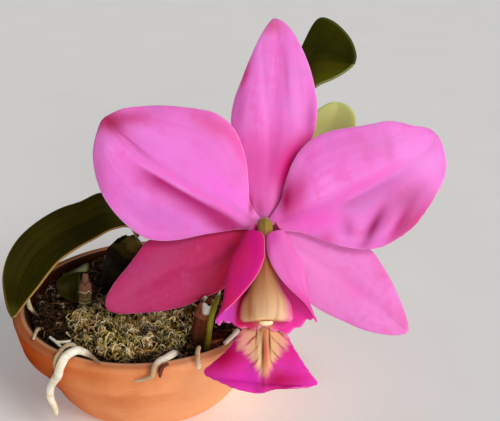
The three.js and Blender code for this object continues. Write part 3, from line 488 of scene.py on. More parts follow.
floor_shader = Shader("floor", roughness=0.7, specular=0.2)
floor_shader.set("Base Color", floor_shader.ramp(
    floor_shader.noise(floor_shader.place(), 0.02, 2.0), [(0.3, (244, 243, 240)), (0.7, (248, 247, 245))]))
floor_shader.set("Emission Color", (1, 1, 1, 1))
floor_shader.set("Emission Strength", 0.13)
floor_mesh = bpy.data.meshes.new("floor")
floor_corners = [(x * FLOOR_REACH, y * FLOOR_REACH, 0) for x, y in ((-1, -1), (1, -1), (1, 1), (-1, 1))]
floor_mesh.from_pydata(floor_corners, [], [(0, 1, 2, 3)])
floor_mesh.materials.append(floor_shader.material)
show("floor", floor_mesh)

# ------------------------------------------------------------------ flower: sepals and petals

TEPAL_THICKNESS = 0.81
TEPAL_EDGE = 0.22

# Each tepal in the flower's plane: its two margins from foot to tip, its level there, how it bends in depth,
# its crease (depth, place across, width) and the ripple of its margin (size, waves, slant).
TEPALS = {
    "sepal_dorsal": dict(
        left=[(-2.8, 0.9), (-6, 6.5), (-7.4, 10.5), (-8, 18.5), (-9.6, 26.5), (-11.3, 34.4), (-10.3, 42),
            (-8.3, 47.8), (-5.2, 56), (-1.5, 64.3), (1.4, 69.2), (3, 71)],
        right=[(2.8, 0.9), (6.2, 6.5), (7.8, 10.5), (10.5, 18.5), (14.2, 25.5), (16.8, 31.5), (17.8, 40.2),
            (17.2, 45.5), (15.8, 52.1), (13.5, 58.8), (10.5, 65), (7, 69.6), (4.4, 71.1)],
        level=-3.4, belly=0, tip_back=11, tip_power=2, cup=1.4, crease=(0.5, 0.5, 0.1), ripple=(0.2, 9, 2)),
    "sepal_lower_left": dict(
        left=[(-1.6, 0.6), (-7, -0.8), (-13, -1.2), (-21.5, -2.2), (-31.4, -4), (-39, -5.3), (-42, -9),
            (-45.7, -13.9), (-50.3, -19.6), (-52.8, -24), (-53.4, -27)],
        right=[(-0.2, -1.8), (-2.6, -6.4), (-5.6, -11.5), (-10, -17.6), (-14.2, -21.6), (-19.8, -24.1),
            (-26.4, -26.9), (-33.1, -28.5), (-41.4, -29.4), (-48.7, -29.6), (-52.4, -28.8)],
        level=-3.4, belly=1.1, tip_back=2.2, tip_power=3, cup=1.5, crease=(0.5, 0.5, 0.1),
        ripple=(0.2, 9, 2)),
    "sepal_lower_right": dict(
        left=[(0.2, -1.8), (3, -7), (5.8, -12.6), (9.6, -19.3), (14.7, -25.6), (20, -29.2), (26.6, -32.2),
            (31.6, -34.5), (38.2, -36.3), (44.2, -36.9), (47.2, -36.4)],
        right=[(1.6, 0.6), (8, -1), (15, -2), (24.9, -4.3), (35.2, -8.3), (39.2, -13.6), (42.5, -19.2),
            (44.8, -24.2), (46.8, -29.2), (48, -33.4), (48.2, -35.2)],
        level=-3.4, belly=1.1, tip_back=2.4, tip_power=3, cup=1.5, crease=(0.5, 0.5, 0.1),
        ripple=(0.2, 9, 2)),
    "petal_left": dict(
        left=[(-1.2, -1.8), (-8.2, -1.4), (-13.1, -2), (-21.2, -3.3), (-27.7, -4.7), (-34.2, -5.1),
            (-38.8, -4.3), (-43, -1.9), (-47.3, 2), (-50.6, 5.9), (-53.6, 10.8), (-55.6, 16.4),
            (-56.6, 22.9), (-56.2, 27.8), (-55, 32.4), (-54, 34.6)],
        right=[(-1.2, 1.8), (-4.9, 7.3), (-5.4, 13.2), (-6.2, 21.4), (-8.6, 28.8), (-11.8, 33.6),
            (-16.3, 36.7), (-21.2, 37.9), (-27.7, 38.8), (-34.2, 39.3), (-40.7, 39.1), (-46.6, 38.4),
            (-50.2, 37), (-52.8, 35.8)],
        level=-1.4, belly=3.6, tip_back=1.2, tip_power=2, cup=1.3, crease=(1.5, 0.47, 0.13),
        ripple=(0.5, 11, 3)),
    "petal_right": dict(
        left=[(1.2, 1.8), (5.2, 8.2), (6.6, 13.6), (9, 20.4), (11.8, 24.8), (16, 28.5), (21.2, 30.7),
            (26, 31.7), (30.9, 32.4), (35.8, 33.3), (40, 34.1), (43.9, 33.8), (48.9, 32.7), (53.2, 32.2),
            (54.8, 31.5), (55.2, 29.6)],
        right=[(1.2, -1.8), (11.5, -2.4), (18, -4.5), (24.4, -6.7), (30.9, -7.8), (34.8, -7.9), (39, -6.8),
            (43.9, -4.2), (48.9, -0.3), (52.4, 4), (56, 9.5), (58.6, 14.1), (59.8, 19.7), (59.3, 24),
            (58.4, 26.9), (57.5, 28.9), (56.6, 29.6)],
        level=-1.4, belly=3.6, tip_back=1.2, tip_power=2, cup=1.3, crease=(1.3, 0.5, 0.13),
        ripple=(0.7, 10, 4)),
}

# Soft folds in a tepal: middle, half length and half width, turn in degrees, and depth (up is plus).
FOLDS = {
    "petal_left": [((-43.7, 26.9), (8, 0.7), -39, -0.2), ((-20, 12.5), (20, 2.4), -31, 0.45),
                   ((-25.5, 8.0), (19, 2.2), -30, -0.75)],
    "petal_right": [((35, -0.5), (7, 1.4), 62, -0.75), ((44.9, 0.8), (6.6, 1.4), 60, -0.6),
                    ((40, 0.5), (6, 1.5), 60, 0.35), ((32.8, 12.3), (14, 2.2), 29, 0.4),
                    ((45.9, 9), (7, 3), 30, -0.5), ((24, 1), (3, 2.5), 0, -0.3)],
    "sepal_lower_left": [((-13, -15), (8, 1.2), 58, -0.3), ((-30, -14), (16, 1.6), 30, -0.2)],
    "sepal_lower_right": [((11.5, -16), (6, 0.8), -62, -0.22), ((27, -20), (14, 1.2), -38, -0.15)],
    "sepal_dorsal": [((0, 45), (1.3, 18), 4, -0.25), ((7, 50), (1.1, 14), 3, -0.22),
                     ((0, 11), (2.4, 8), 0, 0.5)],
}


def fold_height(x, y, folds):
    height = np.zeros_like(x)
    for (cx, cy), (a, b), turn, depth in folds:
        c, s = math.cos(math.radians(turn)), math.sin(math.radians(turn))
        p = ((x - cx) * c + (y - cy) * s) / a
        q = (-(x - cx) * s + (y - cy) * c) / b
        height += depth * np.exp(-p * p - q * q)
    return height


def tepal_form(name):
    t = TEPALS[name]
    uu, vv, plan, width = spread(t, rows=110, columns=72)
    x, y = plan[..., 0], plan[..., 1]
    side = np.abs(2 * vv - 1)
    depth, at, wide = t["crease"]
    size, waves, slant = t["ripple"]
    swell = np.sin(math.pi * uu)
    groove = bell(vv, at, wide)
    lift = (t["level"] + (t["belly"] - depth * groove - t["cup"] * side ** 3) * swell
            - t["tip_back"] * uu ** t["tip_power"]
            + size * side ** 2 * uu * np.sin(waves * uu + slant * vv))
    lift += fold_height(x, y, FOLDS[name])
    lift += 0.16 * side ** 4 * uu * np.sin(31 * uu + 5 * vv)
    middle = np.stack([x, y, lift], -1)
    rim = to_margin(uu, vv, width, middle_length(plan))
    thick = thinned(rim, TEPAL_EDGE, TEPAL_THICKNESS)
    return add_blade(Form(), to_row(middle), thick, plan=middle, form=np.stack([uu, vv, rim], -1))


PINK = (240, 114, 209)
PALE_PINK = (250, 138, 228)
DEEP_PINK = (222, 66, 160)
CRIMSON = (178, 24, 74)
WHITE_PINK = (246, 206, 228)
LILAC = (222, 126, 210)
WARM_PINK = (240, 88, 182)

# Marks on each tepal: colour, centre, half sizes, turn and strength, in the flower's plane. Some are the
# tepal's own flush; others are painted shade in creases, painted shadows of neighbouring tepals and painted
# highlights, each marked below.
MARKS = {
    "petal_left": [
        ((204, 98, 172), (-54.5, 19), (2.6, 11), 6, 0.7),
        # painted shade on the lower half, then painted light on the upper half, either side of the crease
        ((212, 106, 200), (-34, 3), (14, 5), -20, 0.6),
        ((250, 132, 230), (-32, 24.5), (11, 6), -20, 0.75),
        ((214, 70, 140), (-45.5, 35.2), (9, 2.8), 0, 0.8),
        ((176, 30, 76), (-51.2, 33.6), (5.4, 3.6), -28, 0.95),
        ((228, 84, 156), (-16.4, 32.4), (9, 3.2), -28, 0.8),
        ((240, 86, 176), (-7.4, 24), (3.4, 9), 24, 0.8),
        # painted highlight along the ridge near the foot
        ((255, 112, 228), (-14, 11.8), (11, 4), -35, 0.85),
        ((222, 92, 178), (-10, 16), (5, 3), -60, 0.35),
        # painted shade in a faint crease
        ((206, 74, 152), (-43.6, 27.2), (8, 0.5), -39, 0.75),
        ((206, 74, 152), (-42.4, 25), (7, 0.4), -38, 0.5),
        # painted shade in the crease at the foot, then a painted shadow beside the dorsal sepal's edge
        ((184, 14, 104), (-14, 1.4), (8.4, 3.2), -34, 1.0),
        ((184, 10, 106), (-4.5, 6.8), (0.9, 3.6), -4, 0.95),
        ((228, 116, 184), (-4.6, 1.9), (2.8, 1.9), 0, 0.7),
    ],
    "petal_right": [
        # painted highlight on the upper part
        ((255, 150, 238), (51, 21), (9, 8), 0, 0.8),
        ((218, 110, 186), (35, 26), (9, 5), 0, 0.5),
        ((208, 98, 176), (40.5, 25), (1.6, 5), 8, 0.4),
        ((255, 92, 206), (17.4, 2), (9, 4), 6, 0.8),
        # painted shade below the ridge, then in the folds and creases, with a painted highlight on the ridge
        # between the two creases
        ((222, 126, 204), (32.8, 7.4), (8, 2.8), 30, 0.8),
        ((198, 88, 154), (46.4, 8.6), (8, 5), 35, 0.85),
        ((202, 60, 128), (48.2, 0.6), (12, 3.4), 44, 0.95),
        ((168, 22, 108), (35.2, -0.3), (7.4, 2.0), 62, 1.0),
        ((180, 36, 116), (44.6, 1.4), (7.0, 1.7), 60, 0.95),
        ((224, 110, 184), (40, 1.4), (5, 1.1), 60, 0.6),
        ((202, 76, 160), (27.4, -1.2), (2, 3), 0, 0.7),
        ((232, 64, 148), (20.2, -4.3), (2.4, 2), 20, 0.55),
        # painted shadow at the foot, beside the dorsal sepal
        ((206, 50, 134), (10.4, 9.6), (3.4, 8), -14, 0.85),
        ((176, 0, 92), (7.2, 8.4), (2.2, 6.4), -8, 1.0),
        ((240, 104, 180), (13, 26), (4, 2), 45, 0.4),
    ],
    "sepal_dorsal": [
        ((236, 76, 170), (2, 20), (12, 13), 0, 0.85),
        ((252, 140, 232), (-0.4, 50), (2.2, 16), 2, 0.5),
        ((254, 146, 232), (10.4, 42), (2.4, 15), 4, 0.6),
        ((224, 104, 186), (7.2, 53), (1.4, 10), 2, 0.5),
        ((204, 44, 108), (-6.6, 50), (1.2, 6), -17, 0.85),
        ((204, 84, 164), (-8.6, 38), (1.8, 8), -6, 0.6),
        ((184, 74, 164), (15.4, 35), (1.7, 9), -3, 0.7),
        ((222, 92, 142), (3.2, 68), (3.4, 3), 0, 0.8),
        # painted shadow of the right petal beside its edge, then painted shade either side of the foot
        ((232, 20, 140), (10.6, 24.0), (9, 3), 54, 0.95),
        ((255, 10, 150), (7.4, 17.0), (2.4, 7), -14, 1.0),
        ((186, 6, 98), (5.6, 6.5), (1.2, 4), -6, 0.95),
        ((190, 8, 104), (-4.7, 6.6), (1.1, 4), 0, 0.9),
        ((204, 78, 136), (-1.6, 5.8), (1.6, 3.2), 0, 0.7),
        ((246, 122, 196), (2.6, 9.4), (1.6, 4.6), -6, 0.7),
    ],
    "sepal_lower_left": [
        ((206, 86, 152), (-37, -13.6), (15, 3.4), 41, 0.85),
        ((198, 74, 146), (-27, -5), (6, 2.4), 0, 0.6),
        ((232, 92, 152), (-47, -26), (8, 5), 20, 0.8),
        ((200, 36, 92), (-20, -16), (10, 7), 40, 0.6),
        ((252, 24, 74), (-14, -15.6), (10, 3.4), 58, 0.8),
        ((226, 26, 112), (-13, -6), (8, 4.6), 10, 0.85),
        ((255, 14, 70), (-8.9, -4.6), (1.7, 5.6), 0, 0.9),
        # painted light, lifting the shade at the foot
        ((255, 60, 150), (-6.6, -3.4), (1.6, 3), 0, 0.8),
        ((196, 18, 46), (-22, -24), (5, 1.4), 10, 0.6),
    ],
    "sepal_lower_right": [
        # painted light over the middle of the sepal
        ((255, 184, 255), (18, -13), (12, 8), -35, 0.7),
        ((252, 128, 212), (29, -21), (6, 3.4), -40, 0.5),
        ((236, 128, 196), (38, -15), (2, 8), 28, 0.5),
        ((236, 112, 170), (45.6, -31), (2.4, 5), 14, 0.55),
        ((224, 108, 196), (12.2, -15.5), (5, 0.5), -68, 0.55),
        ((255, 160, 204), (6.6, -5), (0.9, 2.4), 15, 0.7),
    ],
}
# Bands with a sharp side: colour, centre, half length, turn, width above and below, and strength. Each pair:
# a painted highlight along a ridge, then painted shade below it.
BANDS = {
    "petal_left": [
        ((255, 108, 214), (-22, 10.6), 20, -31, 2.6, 1.0, 0.7),
        ((182, 26, 116), (-24, 8.8), 25, -30, 1.4, 7.0, 1.0),
    ],
    "petal_right": [
        ((255, 110, 214), (32.8, 13.0), 16, 29, 3.4, 1.2, 0.85),
        ((206, 96, 180), (33.5, 10.8), 13, 29, 1.0, 3.4, 0.6),
    ],
}
BASES = {
    # a deeper base, partly the sepal's own crimson and partly painted shade
    "sepal_lower_left": ((214, 50, 124), (226, 72, 148), CRIMSON),
    # a near-white pink base, partly the sepal's own pink and partly painted light
    "sepal_lower_right": ((255, 172, 255), (255, 184, 255), DEEP_PINK),
}


def tepal_material(name, base, light, back):
    """Soft pink flesh with faint veins from foot to tip, a pale rim and the tepal's marks, among them painted
    shade, painted shadows and painted highlights.
    """
    s = Shader(name + "_flesh", roughness=0.58, specular=0.25)
    plan = s.vector("plan")
    u, v, rim = s.split(s.vector("form"))
    broad = s.streaks(u, v, 2.2, 13.0, 4.0, 0.6)
    cloud = s.noise(plan, 0.055, 2.0, 0.5)
    s.colour = s.mix(s.range(s.blend(broad, 0.6, cloud, 0.6), 0.42, 0.82), base, light)
    mottle = s.noise(plan, 0.16, 3.0, 0.6)
    s.coat(s.range(mottle, 0.5, 0.72, 0.0, 0.5), LILAC)
    s.coat(s.range(mottle, 0.5, 0.3, 0.0, 0.4), WARM_PINK)
    fine = s.streaks(u, v, 4.0, 60.0, 3.0, 0.6, 0.4)
    s.coat(s.range(fine, 0.5, 0.78, 0.0, 0.22), DEEP_PINK)
    s.marks(plan, MARKS[name])
    for tint, *band in BANDS.get(name, ()):
        s.coat(s.band(plan, *band), tint)
    edge = s.range(s.noise(plan, 0.4, 2.0), 0.35, 0.6, 0.1, 0.42)
    s.coat(s.times(s.range(rim, 0.1, 0.55, 1.0, 0.0), edge), WHITE_PINK)
    s.coat(s.range(s.value("face"), -0.2, 0.2, 0.55, 0.0), back)
    s.soft(0.12, 1.2, (1.0, 0.35, 0.7))
    s.set("Sheen Weight", 0.1)
    s.set("Sheen Roughness", 0.4)
    return s.finish(s.blend(fine, 0.6, s.noise(plan, 2.6, 2.0), 0.4), 0.1, 0.5)


for name in TEPALS:
    material = tepal_material(name, *BASES.get(name, (PINK, PALE_PINK, DEEP_PINK)))
    tepal_form(name).piece(name + "_bloom", "tepal", material, name)

# ------------------------------------------------------------------ flower: lip, column and anther cap

# The lip and the column share one axis.
AXIS_START = np.array([0, 0.9, 2.9])
AXIS_DIRECTION = unit(np.array([0, -0.854, 0.52]))
AXIS_UP = np.array([0, AXIS_DIRECTION[2], -AXIS_DIRECTION[1]])
AXIS_LENGTH = 34
AXIS_ARCH = 1.0


def axis_point(s):
    s = np.asarray(s, float)[..., None]
    return (AXIS_START + AXIS_DIRECTION * AXIS_LENGTH * s
            + AXIS_UP * AXIS_ARCH * np.sin(math.pi * np.minimum(s, 1)))


# The side lobes along the axis, as (share of its length, size): the tube, and where its slit's edges stand.
TUBE = dict(
    half_width=[(0, 3.5), (0.1, 5.4), (0.18, 6.9), (0.27, 8.2), (0.52, 11.5), (0.82, 12.8), (0.93, 14),
        (1, 15.4)],
    floor_depth=[(0, 3.0), (0.3, 4.6), (0.7, 5.6), (1, 5.4)],
    roof_height=[(0, 3.1), (0.5, 3.6), (1, 3.4)],
    slit_left=[(0, 3.4), (0.1, 5.2), (0.135, 3.8), (0.17, 1.7), (0.21, 0.6), (0.27, 0.2), (0.4, 0.2),
        (0.5, 0.9), (0.6, 2.2), (0.72, 4.9), (0.86, 9.2), (0.93, 12), (1, 15.4)],
    slit_right=[(0, 3.4), (0.1, 5.2), (0.135, 3.8), (0.17, 1.7), (0.21, 0.6), (0.27, 0.2), (0.36, 0.3),
        (0.47, 1.1), (0.6, 3.1), (0.73, 6.5), (0.87, 12), (0.93, 13.7), (1, 15.4)])
# The middle lobe: its two margins from foot to tip, how it arches across, and the depth of its teeth.
FAN = dict(
    left=[(-4, -23.5, 9.6), (-5.2, -27.8, 11.8), (-6.4, -30.6, 13.6), (-8.3, -33, 15.6), (-12.2, -38, 18.4),
        (-16.6, -41.6, 19.6), (-19, -43.8, 19.6), (-18, -45.3, 20), (-14.5, -46.6, 21.3),
        (-8.2, -48.8, 22.4), (-2.4, -49.9, 22.4)],
    right=[(4, -23.5, 9.6), (5.2, -27.8, 11.8), (6, -30.6, 13.6), (6.8, -33.8, 15.8), (10, -39.4, 18.8),
        (13.6, -44.6, 19.8), (15.6, -47.2, 19.8), (14.6, -48.2, 20.2), (8.3, -48.4, 21.8),
        (3.2, -48.6, 22.4), (-1.2, -49.8, 22.4)],
    bulge=1.6, tooth=0.45)
LIP_THICKNESS = 0.75
LIP_EDGE = 0.2
FAN_LENGTH = 30


def lobes(form, rows=70, columns=96):
    """The two side lobes: a fluted tube round the axis, slit along its top."""
    s = np.linspace(0, 1, rows + 1)
    v = margin_places(columns, (0.003, 0.008, 0.016))
    wide = eased(TUBE["half_width"], s)

    def edge(slit):
        return math.pi - np.arcsin(np.clip(eased(slit, s) / wide, 0.0, 1.0))

    low, high = -edge(TUBE["slit_left"]), edge(TUBE["slit_right"])
    angle = mix(low[:, None], high[:, None], v[None, :])
    ss = np.broadcast_to(s[:, None], angle.shape)
    flute = 0.9 * np.sin(20 * v)[None, :] * (ss ** 8)
    teeth = 0.5 * np.sin(61 * v)[None, :] * ss ** 16
    apron = (2.6 * bell(angle, 0.3, 0.3) - 0.7 * bell(angle, 0.9, 0.35)) * ss ** 8
    onward = flute + teeth + apron
    blend = 0.5 + 0.5 * np.tanh(np.cos(angle) / 0.12)
    reach = mix(eased(TUBE["roof_height"], s)[:, None], eased(TUBE["floor_depth"], s)[:, None], blend)
    middle = (axis_point(ss) + (wide[:, None] * np.sin(angle))[..., None] * FLOWER_X
              + (-reach * np.cos(angle))[..., None] * AXIS_UP + onward[..., None] * AXIS_DIRECTION)
    rim = np.minimum(np.minimum(v, 1 - v)[None, :] * (high - low)[:, None] * wide[:, None],
                     (1 - ss) * AXIS_LENGTH)
    own = np.stack([ss, np.broadcast_to(v, ss.shape), rim], -1)
    thick = thinned(rim, LIP_EDGE, LIP_THICKNESS)
    return add_blade(form, to_row(middle), thick, plan=middle, form=own, fan=np.zeros(ss.shape))


def fan(form):
    """The middle lobe: a toothed, ruffled fan with two keels."""
    uu, vv, plan, width = spread(FAN, rows=90, columns=84, fine=(0.004, 0.012, 0.024))
    across = 2 * vv - 1
    tooth = FAN["tooth"] * (np.mod(uu * 17, 1) - 0.5) * np.minimum(1, 4 * uu)
    margin = np.sign(across) * np.clip((np.abs(across) - 0.9) / 0.1, 0, 1)
    bulge = FAN["bulge"] * np.sin(math.pi * uu) * (1 - across ** 2) + 0.35 * np.sin(14 * vv) * uu
    keel = 0.5 * np.clip(1 - uu / 0.66, 0, 1) ** 0.5 * (bell(vv, 0.45, 0.035) + bell(vv, 0.56, 0.035))
    ruffle = 0.3 * np.abs(across) ** 3 * np.sin(26 * uu) * uu
    middle = plan + np.stack([margin * tooth, -0.6 * np.abs(margin) * tooth, bulge + keel + ruffle], -1)
    rim = to_margin(uu, vv, width, FAN_LENGTH)
    thick = thinned(rim, LIP_EDGE, LIP_THICKNESS)
    own = np.stack([uu, vv, rim], -1)
    return add_blade(form, to_row(middle), thick, plan=middle, form=own, fan=np.ones(uu.shape))


# Marks on the lip, in the flower's plane: colour, centre, half sizes, turn and strength.
LOBE_MARKS = [
    ((222, 26, 96), (-8.5, -10), (3, 9), -12, 0.6),
    ((228, 14, 146), (-3.2, -6), (1.6, 9), 4, 0.7),
    ((206, 22, 150), (-8, -18), (2, 6), -38, 0.6),
    ((206, 62, 176), (-12.8, -29.6), (3.6, 3.6), 10, 0.95),
    ((236, 36, 106), (-11, -21.4), (3, 5), -20, 0.8),
    ((238, 24, 160), (12.8, -27), (3.4, 5), 38, 0.95),
    ((230, 60, 160), (10, -22), (2, 6), 40, 0.6),
    ((240, 62, 182), (6, -33.2), (7, 2.2), 0, 0.9),
    ((196, 6, 92), (-9, -32.4), (4.5, 2.4), 0, 0.9),
    ((214, 60, 172), (2.6, -3.4), (2, 3), 0, 0.75),
    ((196, 30, 110), (0.4, -9), (1.1, 8), 0, 0.7),
]
# Partly painted light: pale cream-pink under the column and brighter pink right of it, where the column's
# shade falls in the mouth.
LINING_MARKS = [
    ((236, 150, 120), (0, -23), (6, 6), 0, 0.8),
    ((246, 192, 136), (-0.5, -31), (2.2, 3.2), 0, 1.0),
    ((255, 70, 178), (7.5, -24), (2.4, 6), 22, 0.8),
]
FAN_MARKS = [
    ((188, 0, 66), (-12.6, -39.6), (7.4, 4.2), 38, 1.0),
    ((206, 26, 60), (-7.5, -33), (2, 4), 30, 0.8),
    ((228, 36, 140), (8, -38), (3, 4), -40, 0.8),
    ((184, 0, 84), (3.8, -46.2), (6, 3), 6, 1.0),
    ((202, 6, 100), (10, -45.6), (4, 1.4), 14, 0.75),
    ((232, 44, 184), (-6, -45.6), (3.6, 2.6), 0, 0.9),
    ((236, 50, 176), (12, -43.6), (3.4, 3), -30, 0.7),
]
KEEL_MARKS = [
    ((252, 216, 160), (-2.0, -36.5), (0.5, 5.5), 0, 0.9),
    ((242, 118, 92), (0.0, -38.4), (0.62, 6.2), 0, 1.0),
]
KEEL_SHADE = (118, 38, 14)
FAN_MIDDLE = -0.3
VEIN_PITCH = 3.5
# The dark lines of the keels: centre, half sizes and turn.
KEEL_LINES = [((-1.0, -37.4), (0.6, 6.8), 0), ((0.95, -35), (0.4, 4.4), 2), ((-2.9, -33.4), (0.24, 2.6), -5)]


def lip_material():
    s = Shader("lip_flesh", roughness=0.6, specular=0.12)
    plan = s.vector("plan")
    u, v, rim = s.split(s.vector("form"))
    x, y, _ = s.split(plan)
    streaks = s.streaks(u, v, 3.0, 30.0)
    # The side lobes: deep on the left, pale on the right, magenta where they flare; the deep left is partly
    # painted shade and the pale right partly painted light.
    s.colour = s.mix(s.range(x, -0.5, 1.5), (228, 34, 124), (246, 118, 202))
    s.coat(s.times(s.range(streaks, 0.45, 0.75), 0.25), (222, 64, 160))
    s.marks(plan, LOBE_MARKS)
    outer = s.colour
    # Their inner face, seen in the mouth: crimson on the left, partly painted shade, and bright pink on the
    # right, partly painted light.
    s.colour = s.mix(s.range(x, -6.0, 6.0), (214, 8, 92), (255, 60, 176))
    s.coat(s.range(x, -8.0, -11.0), (206, 62, 176))
    s.marks(plan, LINING_MARKS)
    s.coat(s.range(u, 0.22, 0.1), (240, 90, 170))
    lobe = s.mix(s.range(s.value("face"), -0.2, 0.2, 1.0, 0.0), outer, s.colour)
    # The fan: magenta round a cream wedge, with dark veins that part from the keels.
    s.colour = s.mix(s.range(s.noise(plan, 0.22, 3.0), 0.35, 0.65), (230, 46, 160), (226, 54, 178))
    s.marks(plan, FAN_MARKS)
    aside = s.minus(x, FAN_MIDDLE)
    out = s.math("ABSOLUTE", aside)
    wobble = s.times(s.minus(s.noise(plan, 0.3, 2.0), 0.5), 1.6)
    arch = s.times(s.math("SQRT", s.math("MAXIMUM", s.minus(out, 0.9), 0.0)), 2.9)
    feather = s.times(s.plus(s.plus(y, arch), wobble), 1 / VEIN_PITCH)
    feather = s.plus(feather, s.range(aside, -0.3, 0.3, 0.0, 0.4))
    ragged = s.times(s.minus(s.streaks(feather, out, 2.2, 0.15, 2.0), 0.5), 5.5)
    reach = s.plus(s.range(y, -35.0, -44.5, 8.4, 1.3), ragged)
    reach = s.minus(reach, s.range(aside, 0.0, 3.0, 0.0, 1.2))
    wedge = s.times(s.range(s.minus(reach, out), -1.8, 2.0), s.range(y, -46.2, -43.2))
    cream = s.mix(s.range(out, 1.5, 7.0), (246, 196, 136), (246, 176, 156))
    s.coat(s.times(wedge, 0.94), cream)
    ridge = s.gap(s.math("FRACT", feather), 0.5)
    bold = s.range(s.noise(plan, 0.35, 2.0), 0.35, 0.6, 0.3, 1.0)
    vein = s.times(s.times(s.range(ridge, 0.03, 0.17, 0.95, 0.0), bold), s.range(out, 0.9, 1.4))
    vein = s.times(s.times(vein, s.range(out, 8.5, 3.5)), s.range(y, -46.0, -42.5))
    s.coat(vein, s.mix(s.range(out, 2.0, 5.0), (160, 84, 44), (196, 60, 96)))
    s.marks(plan, KEEL_MARKS)
    s.colour = s.mix(s.value("fan"), lobe, s.colour)
    s.coat(s.range(rim, 0.08, 0.45, 0.45, 0.0), (244, 150, 206))
    s.marks(plan, [(KEEL_SHADE, *line, 1.0) for line in KEEL_LINES])
    s.soft(0.1, 1.0, (1.0, 0.3, 0.6))
    return s.finish(s.blend(vein, -0.6, streaks, 0.5), 0.12, 0.5)


fan(lobes(Form())).piece("lip_bloom", "lip", lip_material(), "lip")

# The column along the axis, as (share of its length, size); its wings droop towards the tip.
COLUMN = dict(
    half_width=[(0, 2.4), (0.3, 2.6), (0.45, 3.0), (0.6, 4.1), (0.72, 5.7), (0.87, 8.0), (0.95, 8.2),
        (1, 7.2)],
    half_depth=[(0, 2.0), (0.5, 2.2), (0.85, 2.0), (1, 1.2)],
    droop=[(0, 0), (0.5, 0.2), (0.87, 1.8), (1, 1.8)])
COLUMN_MARKS = [
    # the first two are painted shade: a darker streak in the groove between the middle ridge and the left
    # wing, and brownish pink beside it
    ((160, 88, 24), (-5.0, -24.5), (1.1, 6), 0, 0.8),
    ((196, 128, 84), (-6.8, -27), (1.6, 5), 0, 0.6),
    ((240, 194, 150), (3.4, -27), (4, 5), 0, 0.6),
]


def column_form(steps=64, sides=64):
    ss, aa = np.meshgrid(np.linspace(0, 1, steps + 1), around(sides), indexing="ij")
    across = np.cos(aa)
    wide, deep, droop = (eased(COLUMN[key], ss) for key in ("half_width", "half_depth", "droop"))
    ridge = 0.35 * bell(across, 0, 0.16) * np.clip(np.sin(aa), 0, 1) * np.clip(1.2 - ss, 0, 1)
    up = deep * np.sin(aa) - droop * across ** 2 + ridge
    middle = axis_point(ss) + (wide * across)[..., None] * FLOWER_X + up[..., None] * AXIS_UP
    own = np.stack([ss, across, up], -1)
    return Form().add(to_row(middle), tube_faces(steps + 1, sides), plan=middle, form=own)


def column_material():
    s = Shader("column_flesh", roughness=0.42, specular=0.45)
    plan = s.vector("plan")
    u, across, _ = s.split(s.vector("form"))
    s.colour = s.ramp(u, [
        (0.0, (146, 122, 40)), (0.1, (156, 138, 40)), (0.18, (186, 96, 74)), (0.3, (206, 66, 80)),
        (0.42, (186, 96, 58)), (0.7, (196, 134, 88)), (0.95, (226, 178, 132)), (1.0, (236, 190, 140))])
    s.marks(plan, COLUMN_MARKS)
    brush = s.streaks(across, u, 5.0, 1.6)
    s.coat(s.times(s.range(brush, 0.5, 0.68), 0.5), (186, 116, 62))
    wings = s.range(u, 0.45, 0.7)
    # Wings: pink on the right, crimson on the left as on the lip's inner face; the crimson is partly painted
    # shade.
    for inner, outer, tint in ((0.6, 0.96, (232, 96, 168)), (-0.86, -1.0, (196, 40, 84))):
        s.coat(s.times(s.times(s.range(across, inner, outer), wings), 0.9), tint)
    grain = s.noise(plan, 1.4)
    s.coat(s.times(s.range(grain, 0.4, 0.8), 0.2), (206, 150, 110))
    s.soft(0.2, 1.5, (1.0, 0.6, 0.4))
    return s.finish(grain, 0.1, 0.4)


column_form().piece("column_bloom", "column", column_material(), "column")

ANTHER_RADII = [(0, 0.65), (0.12, 0.78), (0.5, 0.75), (0.8, 0.55), (0.93, 0.35), (1, 0.15)]
ANTHER_BREADTH = 2.7


def anther_form():
    """A low cap of two halves, broader than it is high."""
    start = axis_point(1.0) + AXIS_DIRECTION * 0.4 - AXIS_UP * 0.3
    end = start + AXIS_DIRECTION * 1.3 - AXIS_UP * 0.4
    path = to_row(np.array([start, (start + end) / 2, end]))

    def halves(t, angle):
        return 1 - 0.1 * bell(np.mod(angle, math.pi), math.pi / 2, 0.25)

    form = add_stem(Form(), path, ANTHER_RADII, sides=28, segments=24, shape=halves)
    form.points[0][:, 0] = mix(FLOWER_PLACE[0], form.points[0][:, 0], ANTHER_BREADTH)
    return form


def anther_material():
    s = Shader("anther_flesh", roughness=0.4, specular=0.5)
    place = s.place()
    s.colour = s.ramp(s.noise(place, 0.9, 2.0), [(0.3, (255, 222, 166)), (0.7, (255, 236, 190))])
    s.soft(0.2, 1.0)
    return s.finish(s.noise(place, 2.0, 2.0), 0.08, 0.4)


anther_form().piece("anther_bloom", "anther", anther_material(), "anther_cap")

# ------------------------------------------------------------------ pan

# The pan's section, as (radius, height).
POT_INSIDE = [(41.2, 26), (39.2, 20.5), (36, 15), (33.4, 10), (31.2, 7), (28, 4.5)]
POT_PROFILE = [
    (0, 0), (31.5, 0), (33, 1.2), (35.5, 5), (38, 10), (40.6, 15), (43, 19.2), (44.8, 22.3), (45.8, 22.6),
    (46.1, 23.2), (48, 32.8), (47.1, 33.9), (43.6, 34), (42.7, 33.2), *POT_INSIDE, (0, 4.5)]
DRAIN_RADIUS = 3.0
DRAIN_CIRCLE = 15.0
DRAINS = 3


